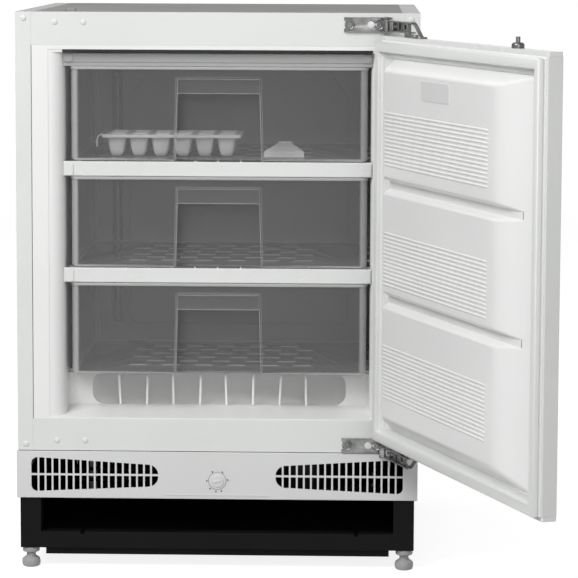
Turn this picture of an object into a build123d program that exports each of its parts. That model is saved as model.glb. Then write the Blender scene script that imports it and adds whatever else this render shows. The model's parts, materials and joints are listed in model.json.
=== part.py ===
from build123d import *
import os
from math import atan2, cos, degrees, radians, sin

# Integrated freezer that stands under a worktop, with its door open.
# Millimetres, X to the right, the front faces -Y, Z up.
# The origin is on the floor under the middle of the cabinet.

# Sizes: cabinet shell
cabinet_width = 596.0
cabinet_depth = 545.0
sheet = 1.2
flange_width = 23.0
top_fold = 26.0
back_flange = 15.0
rail_lip = 10.0
sheet_gap = 0.2

# Sizes: heights of the stack, from the floor up
foot_height = 31.0
base_height = 76.0
panel_gap = 1.0
vent_panel_height = 71.0
bottom_rail_height = 48.0
deck_rise = 19.0
sill_edge = 2.0
sill_rise = 11.0
recess_height = 49.0
wire = 4.0
bottom_drawer_height = 137.2
middle_drawer_height = 135.5
top_drawer_height = 139.8
trim_height = 22.0
top_trim_height = 19.0
ceiling_gap = 2.0
mouth_rise = 4.0
liner_flange_top = 6.0
top_rail_height = 49.0

# Sizes: clearances
drawer_clear = 0.5
trim_clear = 0.8
runner_clear = 0.3
seal_gap = 0.3
pivot_clear = 0.05
loose = 0.2

# Sizes: liner
liner_wall = 2.0
side_wall = 71.5
back_wall = 162.5
mouth_margin = 48.0
rim_step = 1.0
ledge_width = 35.0
sill_depth = 61.5
recess_corner = 18.0
liner_corner = 14.0
slit_width = 2.0
slit_height = 31.0
slit_depth = 1.0
slit_behind_middle = 51.0
slit_drop = 79.0

# Sizes: raised panel on the liner's back wall
plate_thick = 6.0
plate_left = 64.5
plate_right = 33.5
plate_up = 30.0
plate_down = 40.0
plate_chamfer_x = 34.0
plate_chamfer_z = 48.0
plate_corner = 16.0
boss_radius = 24.0
boss_thick = 9.0
boss_left = 80.5
boss_drop = 108.0

# Sizes: shelf trims and wire shelves
trim_inset = 10.0
trim_thick = 4.0
trim_edge = 1.2
clip_width = 13.0
clip_thick = 1.5
top_strip = 5.0
shelf_wire_count = 13
shelf_wire_margin = 22.5
cross_wire_count = 4
shelf_back_gap = 12.0
weld = 1.0
leg_count = 8
leg_pitch = 40.1
leg_centre = -8.5
leg_wire = 3.6
leg_foot_inset = 3.0
leg_lean = 8.0
leg_tilts = (-1.5, 1.0, -0.5, 1.5, -1.0, 0.5, 2.0, -0.5)

# Sizes: drawers
drawer_left_gap = 8.5
drawer_right_gap = 4.5
drawer_inset = 10.5
drawer_depth = 340.0
drawer_wall = 2.2
drawer_corner = 12.0
drawer_foot_round = 6.0
rim_width = 1.5
rim_height = 4.0
grip_half = 61.0
grip_offset = 1.0
grip_drop = 18.0
grip_height = 21.5
grip_depth = 18.0
grip_arch = 6.0
grip_flare = 3.0
slot_length = 28.0
slot_width = 7.0
slot_pitch = 50.0
slot_row_pitch = 40.0
slot_columns = 6
slot_row_pairs = 3
slot_middle = 182.0

# Sizes: ice tray and scraper in the top drawer
tray_left = 41.0
tray_length = 210.0
tray_depth = 110.0
tray_height = 33.0
tray_front = 50.0
tray_plate = 2.0
tray_wall = 1.6
tray_skirt = 4.0
tray_corner = 6.0
cup_columns = 6
cup_rows = 2
cup_pitch = 33.0
cup_row_pitch = 52.0
cup_length = 29.0
cup_width = 47.0
cup_corner = 5.0
cup_taper = 8.0
lip_radius = 9.0
lip_width = 80.0
scraper_left = 34.0
scraper_width = 60.0
scraper_tip = 24.0
scraper_length = 78.0
scraper_edge = 3.0
scraper_height = 20.0

# Sizes: base and feet
base_inset = 2.7
base_setback = 2.0
base_bar_height = 25.0
base_bar_depth = 20.0
base_wall = 3.3
base_post = 30.8
base_tray_rise = 5.0
upstand_thick = 4.8
upstand_height = 18.0
under_rail_depth = 12.0
under_rail_inset = 37.3
under_rail_height = 11.0
notch_insets = (93.3, 86.3)
notch_width = 6.0
notch_depth = 4.0
inlet_x = -100.0
inlet_radius = 7.0
inlet_bore = 3.5
foot_side_inset = 14.3
foot_end_inset = 13.5
foot_travel = 30.0
foot_grip = 15.0
stem_radius = 5.0
hex_across = 26.0
hex_height = 13.0
neck_radius = 8.0
collar_radius = 14.5
collar_height = 11.0

# Sizes: vent panel, dial and thermostat
panel_thick = 2.0
panel_return = 8.5
vent_margin = 20.0
vent_inner = 88.0
vent_outer_foot = 9.5
vent_inner_foot = 18.5
vent_inner_head = 50.5
vent_outer_head = 62.0
vent_round_inner = 15.0
vent_round_outer = 9.0
vent_bar_height = 35.5
vent_bar = 3.0
vent_columns = 18
vent_rib = 2.8
ridge_rise = 6.0
ridge_length = 157.0
ridge_width = 2.0
ridge_height = 0.5
knob_x = 0.85
knob_rise = 27.3
knob_radius = 13.0
knob_gap = 0.5
knob_proud = 2.0
knob_slot_length = 16.0
knob_slot_width = 3.0
knob_slot_depth = 1.2
tick_ring = 16.5
tick_count = 11
tick_start = -60.0
tick_sweep = 300.0
tick_radius = 0.7
shaft_radius = 3.0
shaft_grip = 12.0
housing_inset = 10.0
housing_width = 44.0
housing_height = 36.0
housing_post = 6.0
housing_depth = 30.0

# Sizes: compressor and condenser
compressor_side_gap = 168.0
compressor_back_gap = 122.5
rail_thick = 3.0
rail_length = 250.0
rail_width = 130.0
stud_span_x = 210.0
stud_span_y = 90.0
stud_radius = 4.0
grommet_radius = 11.0
grommet_height = 14.0
foot_plate_thick = 2.5
shell_radius = 72.0
shell_height = 132.0
shell_round = 40.0
terminal_width = 44.0
coil_back_gap = 132.5
coil_side_gap = 48.0
coil_gap = 45.0
coil_tube = 6.0
coil_rise = 18.0
coil_pitch = 18.0
coil_rows = 8
coil_post = 12.0
coil_post_inset = 25.0

# Sizes: door
door_lift = 25.0
door_drop = 31.0
edge_inset = 1.0
pan_thick = 20.0
pan_return = 6.0
cap_height = 6.0
cap_edge = 1.5
door_wall = 1.5
gasket_thick = 12.0
gasket_width = 23.0
gasket_clear = 0.3
gasket_corner = 6.0
gasket_round = 2.5
seal_inset = 4.0
seal_foot = 5.4
seal_head = 8.0
plug_height = 20.0
plug_clear = 10.0
plug_corner = 14.0
hinge_slope = 8.0
free_slope = 83.7
foot_slope = 20.0
head_slope = 15.0
groove_rise = (221.5, 386.5)
groove_half = 10.5
groove_floor = 5.0
groove_depth = 12.0
rib_rise = (118.0, 281.5, 453.5)
rib_start_gap = 10.0
rib_end_gap = 33.0
rib_width = 2.6
rib_height = 1.0
rib_pitch = 5.7
rib_count = 14
label_start = 212.0
label_length = 102.0
label_rise = 529.5
label_height = 27.0
label_corner = 3.0
label_thick = 0.6
adjuster_along = 476.0
adjuster_height = 15.0
dome_radius = 8.5
dome_height = 7.5

# Sizes: hinges
door_swing = 110.2
arm_swing = 78.5
pivot_1_inset = 50.0
pivot_1_out = 9.5
pivot_2_along = 5.0
pivot_2_out = 6.2
hinge_gap = 3.0
hinge_height = 22.0
hinge_sheet = 2.0
hinge_step = 1.0
arm_clear = 0.3
lug_radius = 8.0
eye_radius = 6.0
washer_radius = 5.2
pin_radius = 3.0
hinge_plate_right = 42.0
hinge_plate_length = 69.0
hinge_plate_thick = 1.5
bracket_length = 100.0
bracket_out = 14.5
bracket_hole = 8.0
bracket_hole_along = 75.0
bracket_slot_along = 152.0
bracket_slot_length = 22.0
bracket_foot_length = 85.0
bracket_foot_thick = 2.5
foot_in = 2.0
foot_out = 18.0
web_start = 14.0
gusset_start = 60.0
gusset_end = 135.0

# Sizes: screws and caps
screw_radius = 4.5
screw_head = 2.5
screw_slot = 1.2
hinge_screw_insets = (60.1, 103.6)
slot_cap_inset = 72.0
slot_cap_radius = 5.0
bracket_screw_along = (112.0, 172.0)
screw_cap_places = ((12.5, 9.3), (58.5, 15.0), (100.7, 15.0))
screw_cap_radius = 4.2
cap_proud = 1.2

# Heights worked out from the stack
front = -cabinet_depth / 2
back = cabinet_depth / 2
side = cabinet_width / 2
base_top = foot_height + base_height
vent_bottom = base_top + panel_gap
vent_top = vent_bottom + vent_panel_height
body_bottom = vent_top + panel_gap
rail_top = body_bottom + bottom_rail_height
deck = body_bottom + deck_rise
mouth_bottom = rail_top + sill_edge
recess_floor = mouth_bottom + sill_rise
ledge = recess_floor + recess_height
bottom_floor = ledge + wire + runner_clear
lower_trim = bottom_floor + bottom_drawer_height + drawer_clear
middle_floor = lower_trim + trim_height + trim_clear
upper_trim = middle_floor + middle_drawer_height + drawer_clear
top_floor = upper_trim + trim_height + trim_clear
top_trim_bottom = top_floor + top_drawer_height + drawer_clear
ceiling = top_trim_bottom + top_trim_height + ceiling_gap
mouth_top = ceiling + mouth_rise
liner_top = mouth_top + liner_flange_top
cabinet_top = liner_top + top_rail_height

# Widths and depths worked out from the cabinet
inner_half = side - side_wall
mouth_half = side - mouth_margin
recess_half = inner_half - ledge_width
liner_back = back - back_wall
sill_back = front + sill_depth
trim_face = front + trim_inset
trim_back = trim_face + trim_thick
flare = mouth_half - inner_half
flare_centre = front + rim_step + flare
door_width = cabinet_width
web_face = bracket_out - hinge_sheet
vent_outer = side - vent_margin
vent_pitch = (vent_outer - vent_inner) / vent_columns
trim_half = mouth_half - (flare**2 - (flare_centre - trim_back) ** 2) ** 0.5 - loose


def facing(y):
    """Plane across the cabinet at depth y: its x is X, its y is Z, and it faces the front."""
    return Plane.XZ.offset(-y)


# Outer sheets: side panels, top, back, rails and the deck over the machine space
with BuildPart() as side_panel_left:
    with BuildSketch(Plane.XY.offset(base_top)):
        with Locations((-side, front)):
            Rectangle(sheet, cabinet_depth, align=(Align.MIN, Align.MIN))
        with Locations((-side, back)):
            Rectangle(back_flange, sheet, align=(Align.MIN, Align.MAX))
    extrude(amount=cabinet_top - base_top)
    with BuildSketch(Plane.XY.offset(body_bottom)):
        with Locations((-side, front)):
            Rectangle(flange_width, sheet, align=(Align.MIN, Align.MIN))
    extrude(amount=cabinet_top - body_bottom)
    with BuildSketch(Plane.XY.offset(cabinet_top)):
        with Locations((-side, front)):
            Rectangle(top_fold, cabinet_depth, align=(Align.MIN, Align.MIN))
    extrude(amount=-sheet)

with BuildPart() as side_panel_right:
    mirror(side_panel_left.part, about=Plane.YZ)

with BuildPart() as top_panel:
    with BuildSketch(Plane.XY.offset(cabinet_top)):
        with Locations((0, back)):
            Rectangle(
                2 * (side - top_fold - sheet_gap),
                cabinet_depth - rail_lip - sheet_gap,
                align=(Align.CENTER, Align.MAX),
            )
    extrude(amount=-sheet)

with BuildPart() as back_panel:
    with BuildSketch(facing(back - sheet)):
        with Locations((0, deck + sheet)):
            Rectangle(
                2 * (side - sheet - sheet_gap),
                cabinet_top - deck - 2 * sheet - sheet_gap,
                align=(Align.CENTER, Align.MIN),
            )
    extrude(amount=sheet)

with BuildPart() as top_rail:
    with BuildSketch(facing(front)):
        with Locations((0, liner_top)):
            Rectangle(
                2 * (side - flange_width),
                top_rail_height - sheet,
                align=(Align.CENTER, Align.MIN),
            )
    extrude(amount=-sheet)
    with BuildSketch(facing(front)):
        with Locations((0, cabinet_top)):
            Rectangle(2 * (side - top_fold), sheet, align=(Align.CENTER, Align.MAX))
    extrude(amount=-rail_lip)

with BuildPart() as bottom_rail:
    with BuildSketch(facing(front)):
        with Locations((0, body_bottom)):
            Rectangle(2 * (side - flange_width), bottom_rail_height, align=(Align.CENTER, Align.MIN))
    extrude(amount=-sheet)
    with BuildSketch(facing(front)):
        with Locations((0, body_bottom)):
            Rectangle(2 * (side - flange_width), sheet, align=(Align.CENTER, Align.MIN))
    extrude(amount=-rail_lip)

with BuildPart() as machine_deck:
    with BuildSketch(Plane.XY.offset(deck)):
        with Locations((0, back - 2 * sheet)):
            Rectangle(
                2 * (side - sheet),
                cabinet_depth - liner_wall - 2 * sheet,
                align=(Align.CENTER, Align.MAX),
            )
    extrude(amount=sheet)
    with BuildSketch(facing(front + rail_lip)):
        with Locations((0, body_bottom)):
            Rectangle(2 * (side - sheet), deck_rise, align=(Align.CENTER, Align.MIN))
    extrude(amount=-sheet)


def liner_plan(grow, y_back):
    """Half plan of the liner's hollow, with its flared mouth, mirrored to a whole."""
    y_rim = front + rim_step + grow
    with BuildSketch(Plane.XY, mode=Mode.PRIVATE) as plan:
        with BuildLine():
            arc = CenterArc((mouth_half, flare_centre), flare - grow, 180, 90)
            Polyline(arc @ 0, (inner_half + grow, y_back), (0, y_back), (0, y_rim), arc @ 1)
        make_face()
        mirror(about=Plane.YZ)
        fillet(plan.vertices().group_by(Axis.Y)[-1], radius=liner_corner + grow)
    return plan.sketch


def liner_form(grow):
    """The liner's hollow, or its outside when it grows by the wall."""
    main_plan = liner_plan(grow, liner_back + grow)
    lower_plan = liner_plan(grow, sill_back + grow)
    with BuildPart() as form:
        with BuildSketch(Plane.XY.offset(ledge - grow)):
            add(main_plan)
        extrude(amount=ceiling - ledge + 2 * grow)
        with BuildSketch(facing(front)):
            with Locations((0, mouth_bottom - grow)):
                Rectangle(
                    2 * (mouth_half + grow),
                    mouth_top - mouth_bottom + 2 * grow,
                    align=(Align.CENTER, Align.MIN),
                )
        extrude(amount=-(rim_step + grow))
        with BuildSketch(Plane.XY.offset(mouth_bottom - grow)):
            add(lower_plan)
        extrude(amount=ledge - mouth_bottom + grow)
        with BuildSketch(facing(sill_back)) as recess:
            with Locations((0, recess_floor - grow)):
                Rectangle(
                    2 * (recess_half + grow),
                    recess_height + grow,
                    align=(Align.CENTER, Align.MIN),
                )
            fillet(recess.vertices().group_by(Axis.Z)[0], radius=recess_corner + grow)
        extrude(amount=-(liner_back + grow - sill_back))
        with BuildSketch(Plane.YZ):
            with BuildLine():
                Polyline(
                    (front, mouth_bottom - grow),
                    (sill_back + grow, recess_floor - grow),
                    (sill_back + grow, mouth_bottom - 2 * grow - liner_wall),
                    (front, mouth_bottom - 2 * grow - liner_wall),
                    close=True,
                )
            make_face()
        extrude(amount=mouth_half + 2 * grow, both=True, mode=Mode.SUBTRACT)
    return form.part


# Inner liner, the raised panel on its back wall, and the foam round it
liner_hollow = liner_form(0)
liner_outside = liner_form(liner_wall)

with BuildPart() as inner_liner:
    add(liner_outside)
    with BuildSketch(facing(front)):
        with Locations((0, rail_top)):
            Rectangle(
                2 * (side - flange_width - rim_step),
                liner_top - rail_top,
                align=(Align.CENTER, Align.MIN),
            )
    extrude(amount=-liner_wall)
    add(liner_hollow, mode=Mode.SUBTRACT)
    with BuildSketch(Plane.XY.offset(ceiling - slit_drop)):
        with Locations((0, slit_behind_middle)):
            Rectangle(2 * (inner_half + slit_depth), slit_width)
    extrude(amount=-slit_height, mode=Mode.SUBTRACT)

plate_x0 = plate_left - inner_half
plate_x1 = inner_half - plate_right
plate_z0 = ledge + plate_up
plate_z1 = ceiling - plate_down

with BuildPart() as rear_plate:
    with BuildSketch(facing(liner_back - plate_thick)) as face:
        with BuildLine():
            Polyline(
                (plate_x0, plate_z0),
                (plate_x1, plate_z0),
                (plate_x1, plate_z1 - plate_chamfer_z),
                (plate_x1 - plate_chamfer_x, plate_z1),
                (plate_x0 + plate_chamfer_x, plate_z1),
                (plate_x0, plate_z1 - plate_chamfer_z),
                close=True,
            )
        make_face()
        fillet(face.vertices().group_by(Axis.Z)[0], radius=plate_corner)
    extrude(amount=-plate_thick)
    chamfer(rear_plate.faces().sort_by(Axis.Y)[0].edges(), length=plate_thick / 2)
    with BuildSketch(facing(liner_back)):
        with Locations((boss_left - inner_half, ceiling - boss_drop)):
            Circle(boss_radius)
    extrude(amount=boss_thick)

with BuildPart() as insulation_foam:
    with BuildSketch(facing(front + liner_wall)):
        with Locations((0, deck + sheet)):
            Rectangle(
                2 * (side - sheet),
                cabinet_top - deck - 2 * sheet,
                align=(Align.CENTER, Align.MIN),
            )
    extrude(amount=-(cabinet_depth - liner_wall - 2 * sheet))
    add(liner_outside, mode=Mode.SUBTRACT)
    with BuildSketch(facing(front)):
        with Locations((0, cabinet_top)):
            Rectangle(2 * side, sheet, align=(Align.CENTER, Align.MAX))
    extrude(amount=-cabinet_depth, mode=Mode.SUBTRACT)


# Shelf trims across the mouth, with a clip at each end
def trim_form(z, height, strip):
    """A trim bar from z upwards, its front edges eased, with a strip hanging under it."""
    with BuildPart() as bar:
        with BuildSketch(facing(trim_face + clip_thick)):
            with Locations((0, z + strip)):
                Rectangle(2 * trim_half, height - strip, align=(Align.CENTER, Align.MIN))
        extrude(amount=-(trim_thick - clip_thick))
        chamfer(bar.faces().sort_by(Axis.Y)[0].edges().filter_by(Axis.X), length=trim_edge)
        if strip > 0:
            with BuildSketch(facing(trim_face + clip_thick + trim_edge)):
                with Locations((0, z)):
                    Rectangle(2 * trim_half, strip, align=(Align.CENTER, Align.MIN))
            extrude(amount=-(trim_thick - clip_thick - trim_edge))
        with BuildSketch(facing(trim_face)):
            with Locations((0, z + (height + strip) / 2)):
                with GridLocations(2 * (trim_half - clip_thick) - clip_width, 0, 2, 1):
                    RectangleRounded(clip_width, height - strip - 2 * trim_edge, clip_width / 3)
        extrude(amount=-clip_thick)
    return bar.part


with BuildPart() as top_trim:
    add(trim_form(top_trim_bottom, top_trim_height, top_strip))

with BuildPart() as upper_shelf_trim:
    add(trim_form(upper_trim, trim_height, 0))

with BuildPart() as lower_shelf_trim:
    add(trim_form(lower_trim, trim_height, 0))

# Wire shelves behind the trims, and the one on the ledges with its bent-down front legs
def wire_net(z_top, y_front, x_list, half_span, cross_on_top):
    """Front-to-back wires at x_list and cross wires welded under or over them."""
    sunk = wire - weld
    z_long = z_top - wire / 2 - (sunk if cross_on_top else 0)
    z_cross = z_top - wire / 2 - (0 if cross_on_top else sunk)
    y_back = liner_back - shelf_back_gap
    y_first = sill_back + wire
    step = (y_back - wire - y_first) / (cross_wire_count - 1)
    with BuildPart() as net:
        with BuildSketch(facing(y_front)):
            with Locations(*[(x, z_long) for x in x_list]):
                Circle(wire / 2)
        extrude(amount=-(y_back - y_front))
        with BuildSketch(Plane.YZ):
            with Locations(*[(y_first + i * step, z_cross) for i in range(cross_wire_count)]):
                Circle(wire / 2)
        extrude(amount=half_span, both=True)
    return net.part


shelf_wire_pitch = 2 * (inner_half - shelf_wire_margin) / (shelf_wire_count - 1)
shelf_wire_x = [(i - (shelf_wire_count - 1) / 2) * shelf_wire_pitch for i in range(shelf_wire_count)]
leg_x = [leg_centre + (i - (leg_count - 1) / 2) * leg_pitch for i in range(leg_count)]
wire_half = inner_half - loose

with BuildPart() as upper_shelf_wires:
    add(wire_net(top_floor - runner_clear, trim_back + loose, shelf_wire_x, wire_half, False))

with BuildPart() as lower_shelf_wires:
    add(wire_net(middle_floor - runner_clear, trim_back + loose, shelf_wire_x, wire_half, False))

leg_foot_y = sill_back - leg_foot_inset
leg_top_y = leg_foot_y - leg_lean
leg_foot_z = mouth_bottom + sill_rise * (leg_foot_y - front) / sill_depth + drawer_clear
leg_top_z = ledge - wire + weld - drawer_clear

with BuildPart() as bottom_shelf_wires:
    add(wire_net(bottom_floor - runner_clear, leg_top_y - wire / 2, leg_x, wire_half, True))

with BuildPart() as bottom_shelf_legs:
    for x, tilt in zip(leg_x, leg_tilts):
        foot = Vector(x, leg_foot_y, leg_foot_z)
        rise = Vector(x + tilt, leg_top_y, leg_top_z) - foot
        with BuildSketch(Plane(origin=foot, z_dir=rise)):
            Circle(leg_wire / 2)
        extrude(amount=rise.length)

# Drawers: clear tubs with a handle pocket pressed into the front
drawer_width = 2 * inner_half - drawer_left_gap - drawer_right_gap
drawer_x = (drawer_left_gap - drawer_right_gap) / 2
drawer_face = front + drawer_inset
drawer_y = drawer_face + drawer_depth / 2
grip_x = drawer_x - grip_offset


def tub(z, width, depth, height, corner, foot_round):
    """Solid block with rounded corners and a rounded foot."""
    with BuildPart() as block:
        with BuildSketch(Plane.XY.offset(z)):
            with Locations((drawer_x, drawer_y)):
                RectangleRounded(width, depth, corner)
        extrude(amount=height)
        fillet(block.faces().sort_by(Axis.Z)[0].edges(), radius=foot_round)
    return block.part


def pocket_outline(z_bottom, z_top, spread, grow):
    """Points of the pocket's front view, a little wider at the foot."""
    half = grip_half + grow
    return [
        (grip_x - half - spread, z_bottom),
        (grip_x + half + spread, z_bottom),
        (grip_x + half, z_top + grow),
        (grip_x - half, z_top + grow),
    ]


def drawer_form(z, height):
    """One drawer, its underside at z."""
    outside = tub(z, drawer_width, drawer_depth, height, drawer_corner, drawer_foot_round)
    hollow = tub(
        z + drawer_wall,
        drawer_width - 2 * drawer_wall,
        drawer_depth - 2 * drawer_wall,
        height,
        drawer_corner - drawer_wall,
        drawer_foot_round - drawer_wall,
    )
    grip_top = z + height - grip_drop
    grip_bottom = grip_top - grip_height
    with BuildPart() as drawer:
        add(outside)
        with BuildSketch(Plane.XY.offset(z + height)):
            with Locations((drawer_x, drawer_y)):
                RectangleRounded(
                    drawer_width + 2 * rim_width,
                    drawer_depth + 2 * rim_width,
                    drawer_corner + rim_width,
                )
        extrude(amount=-rim_height)
        add(hollow, mode=Mode.SUBTRACT)
        with BuildSketch(facing(drawer_face)):
            Polygon(*pocket_outline(z, grip_top, grip_flare, drawer_wall), align=None)
        extrude(amount=-(grip_depth + drawer_wall))
        with BuildSketch(facing(drawer_face + drawer_wall)):
            Polygon(*pocket_outline(z, grip_top, grip_flare, 0), align=None)
        extrude(amount=-(grip_depth - drawer_wall), mode=Mode.SUBTRACT)
        with BuildSketch(facing(drawer_face)):
            with BuildLine():
                corners = pocket_outline(z, grip_bottom, grip_flare, 0)
                Polyline(corners[3], corners[0], corners[1], corners[2])
                ThreePointArc(corners[2], (grip_x, grip_bottom + grip_arch), corners[3])
            make_face()
        extrude(amount=-drawer_wall, mode=Mode.SUBTRACT)
        with BuildSketch(Plane.XY.offset(z)):
            with Locations((0, drawer_face + slot_middle)):
                with GridLocations(slot_pitch, 2 * slot_row_pitch, slot_columns, slot_row_pairs):
                    SlotOverall(slot_length, slot_width)
            with Locations((0, drawer_face + slot_middle + slot_row_pitch)):
                with GridLocations(slot_pitch, 2 * slot_row_pitch, slot_columns - 1, slot_row_pairs):
                    SlotOverall(slot_length, slot_width)
        extrude(amount=drawer_wall, mode=Mode.SUBTRACT)
    return drawer.part


with BuildPart() as drawer_bottom:
    add(drawer_form(bottom_floor, bottom_drawer_height))

with BuildPart() as drawer_middle:
    add(drawer_form(middle_floor, middle_drawer_height))

with BuildPart() as drawer_top:
    add(drawer_form(top_floor, top_drawer_height))

# Ice tray and scraper, lying in the top drawer
tray_floor = top_floor + drawer_wall + runner_clear
tray_top = tray_floor + tray_height
tray_x = drawer_x - drawer_width / 2 + tray_left + tray_length / 2
tray_y = drawer_face + tray_front + tray_depth / 2

with BuildPart() as ice_tray:
    with BuildSketch(Plane.XY.offset(tray_top)):
        with Locations((tray_x, tray_y)):
            RectangleRounded(tray_length, tray_depth, tray_corner)
    extrude(amount=-tray_plate)
    with BuildSketch(Plane.XY.offset(tray_top)):
        with Locations((tray_x, tray_y)):
            RectangleRounded(tray_length, tray_depth, tray_corner)
            RectangleRounded(
                tray_length - 2 * tray_wall,
                tray_depth - 2 * tray_wall,
                tray_corner - tray_wall,
                mode=Mode.SUBTRACT,
            )
    extrude(amount=-tray_skirt)
    with BuildSketch(Plane.XY.offset(tray_top - tray_plate)):
        with Locations((tray_x, tray_y)):
            with GridLocations(cup_pitch, cup_row_pitch, cup_columns, cup_rows):
                RectangleRounded(cup_length, cup_width, cup_corner)
    extrude(amount=-(tray_height - tray_plate), taper=cup_taper)
    with BuildSketch(Plane.XY.offset(tray_top)):
        with Locations((tray_x, tray_y)):
            with GridLocations(cup_pitch, cup_row_pitch, cup_columns, cup_rows):
                RectangleRounded(
                    cup_length - 2 * tray_wall,
                    cup_width - 2 * tray_wall,
                    cup_corner - tray_wall,
                )
    extrude(amount=-(tray_height - tray_wall), taper=cup_taper, mode=Mode.SUBTRACT)
    with BuildSketch(facing(tray_y - lip_width / 2)):
        with Locations((tray_x - tray_length / 2, tray_top - lip_radius)):
            Circle(lip_radius)
            Circle(lip_radius - tray_plate, mode=Mode.SUBTRACT)
            Rectangle(lip_radius, lip_radius, align=(Align.MAX, Align.MIN), mode=Mode.INTERSECT)
    extrude(amount=-lip_width)

scraper_x = tray_x + tray_length / 2 + scraper_left + scraper_width / 2
scraper_y = drawer_face + tray_front

with BuildPart() as ice_scraper:
    with BuildSketch(Plane.XY.offset(tray_floor)) as plan:
        with BuildLine():
            Polyline(
                (scraper_x - scraper_width / 2, scraper_y),
                (scraper_x + scraper_width / 2, scraper_y),
                (scraper_x + scraper_tip / 2, scraper_y + scraper_length / 2),
                (scraper_x + scraper_tip / 2, scraper_y + scraper_length),
                (scraper_x - scraper_tip / 2, scraper_y + scraper_length),
                (scraper_x - scraper_tip / 2, scraper_y + scraper_length / 2),
                close=True,
            )
        make_face()
        fillet(plan.vertices().group_by(Axis.Y)[-1], radius=scraper_tip / 3)
    extrude(amount=scraper_height)
    with BuildSketch(Plane.YZ.offset(scraper_x)):
        with BuildLine():
            Polyline(
                (scraper_y, tray_floor),
                (scraper_y + scraper_length, tray_floor),
                (scraper_y + scraper_length, tray_floor + scraper_height),
                (scraper_y + scraper_length / 2, tray_floor + scraper_height),
                (scraper_y, tray_floor + scraper_edge),
                close=True,
            )
        make_face()
    extrude(amount=scraper_width, both=True, mode=Mode.INTERSECT)

# Black base with its four corner posts, the sheet tray inside it and the cover behind it
base_half = side - base_inset
base_end = back - base_setback
foot_x = base_half - foot_side_inset
foot_y = base_end - foot_end_inset
bar_end = base_end - base_bar_depth
stem_height = foot_travel + foot_grip
notch_x = (notch_insets[0] - base_half, base_half - notch_insets[1])

with BuildPart() as base_frame:
    with BuildSketch(Plane.XY.offset(foot_height)):
        Rectangle(2 * base_half, 2 * base_end)
        Rectangle(2 * (base_half - base_wall), 2 * bar_end, mode=Mode.SUBTRACT)
    extrude(amount=base_bar_height)
    with BuildSketch(Plane.XY.offset(foot_height)):
        with GridLocations(2 * base_half - base_wall, 0, 2, 1):
            Rectangle(base_wall, 2 * base_end)
        with GridLocations(2 * base_half - base_post, 2 * base_end - base_post, 2, 2):
            Rectangle(base_post, base_post)
    extrude(amount=base_height)
    with BuildSketch(Plane.XY.offset(base_top)):
        with GridLocations(2 * (side - sheet) - upstand_thick, 0, 2, 1):
            Rectangle(upstand_thick, 2 * (base_end - base_post))
    extrude(amount=upstand_height)
    with BuildSketch(Plane.XY.offset(foot_height)):
        with GridLocations(0, 2 * (bar_end + under_rail_depth / 2), 1, 2):
            Rectangle(2 * (base_half - under_rail_inset), under_rail_depth)
    extrude(amount=-under_rail_height)
    with BuildSketch(Plane.XY.offset(foot_height)):
        with GridLocations(2 * foot_x, 2 * foot_y, 2, 2):
            Circle(stem_radius + pivot_clear)
    extrude(amount=stem_height + foot_grip, mode=Mode.SUBTRACT)
    with BuildSketch(facing(base_end)):
        with Locations((inlet_x, foot_height + base_bar_height / 2)):
            Circle(inlet_radius + loose)
    extrude(amount=base_bar_depth, mode=Mode.SUBTRACT)
    with BuildSketch(facing(-base_end)):
        with Locations(*[(x, foot_height + base_bar_height) for x in notch_x]):
            Rectangle(notch_width, 2 * notch_depth)
    extrude(amount=-base_bar_depth, mode=Mode.SUBTRACT)

tray_sheet_z = foot_height + base_tray_rise

with BuildPart() as base_tray:
    with BuildSketch(Plane.XY.offset(tray_sheet_z)):
        Rectangle(2 * (base_half - base_post - sheet_gap), 2 * bar_end)
    extrude(amount=sheet)

with BuildPart() as machine_cover:
    with BuildSketch(facing(base_end - sheet)):
        with Locations((0, foot_height + base_bar_height)):
            Rectangle(
                2 * (base_half - base_post - sheet_gap),
                base_height - base_bar_height,
                align=(Align.CENTER, Align.MIN),
            )
        with Locations((0, base_top)):
            Rectangle(
                2 * (side - sheet - sheet_gap),
                deck - base_top - sheet_gap,
                align=(Align.CENTER, Align.MIN),
            )
    extrude(amount=-sheet)

with BuildPart() as power_inlet:
    with BuildSketch(facing(base_end)):
        with Locations((inlet_x, foot_height + base_bar_height / 2)):
            Circle(inlet_radius + base_setback)
            Circle(inlet_bore, mode=Mode.SUBTRACT)
    extrude(amount=-base_setback)
    with BuildSketch(facing(base_end)):
        with Locations((inlet_x, foot_height + base_bar_height / 2)):
            Circle(inlet_radius)
            Circle(inlet_bore, mode=Mode.SUBTRACT)
    extrude(amount=base_bar_depth)


def foot_form(x, y):
    """Levelling foot: six-sided base, neck, collar and threaded stem."""
    with BuildPart() as foot:
        with BuildSketch(Plane.XY):
            with Locations((x, y)):
                RegularPolygon(hex_across / 2, 6, major_radius=False)
        extrude(amount=hex_height)
        with BuildSketch(Plane.XY.offset(hex_height)):
            with Locations((x, y)):
                Circle(neck_radius)
        extrude(amount=foot_height - hex_height)
        with BuildSketch(Plane.XY.offset(foot_height)):
            with Locations((x, y)):
                Circle(collar_radius)
        extrude(amount=-collar_height)
        with BuildSketch(Plane.XY.offset(foot_height)):
            with Locations((x, y)):
                Circle(stem_radius)
        extrude(amount=stem_height)
    return foot.part


with BuildPart() as foot_front_left:
    add(foot_form(-foot_x, -foot_y))

with BuildPart() as foot_front_right:
    add(foot_form(foot_x, -foot_y))

with BuildPart() as foot_rear_left:
    add(foot_form(-foot_x, foot_y))

with BuildPart() as foot_rear_right:
    add(foot_form(foot_x, foot_y))

# Vent panel with its two slotted vents, the thermostat dial and its housing
knob_z = vent_bottom + knob_rise
housing_front = front + housing_inset


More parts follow.
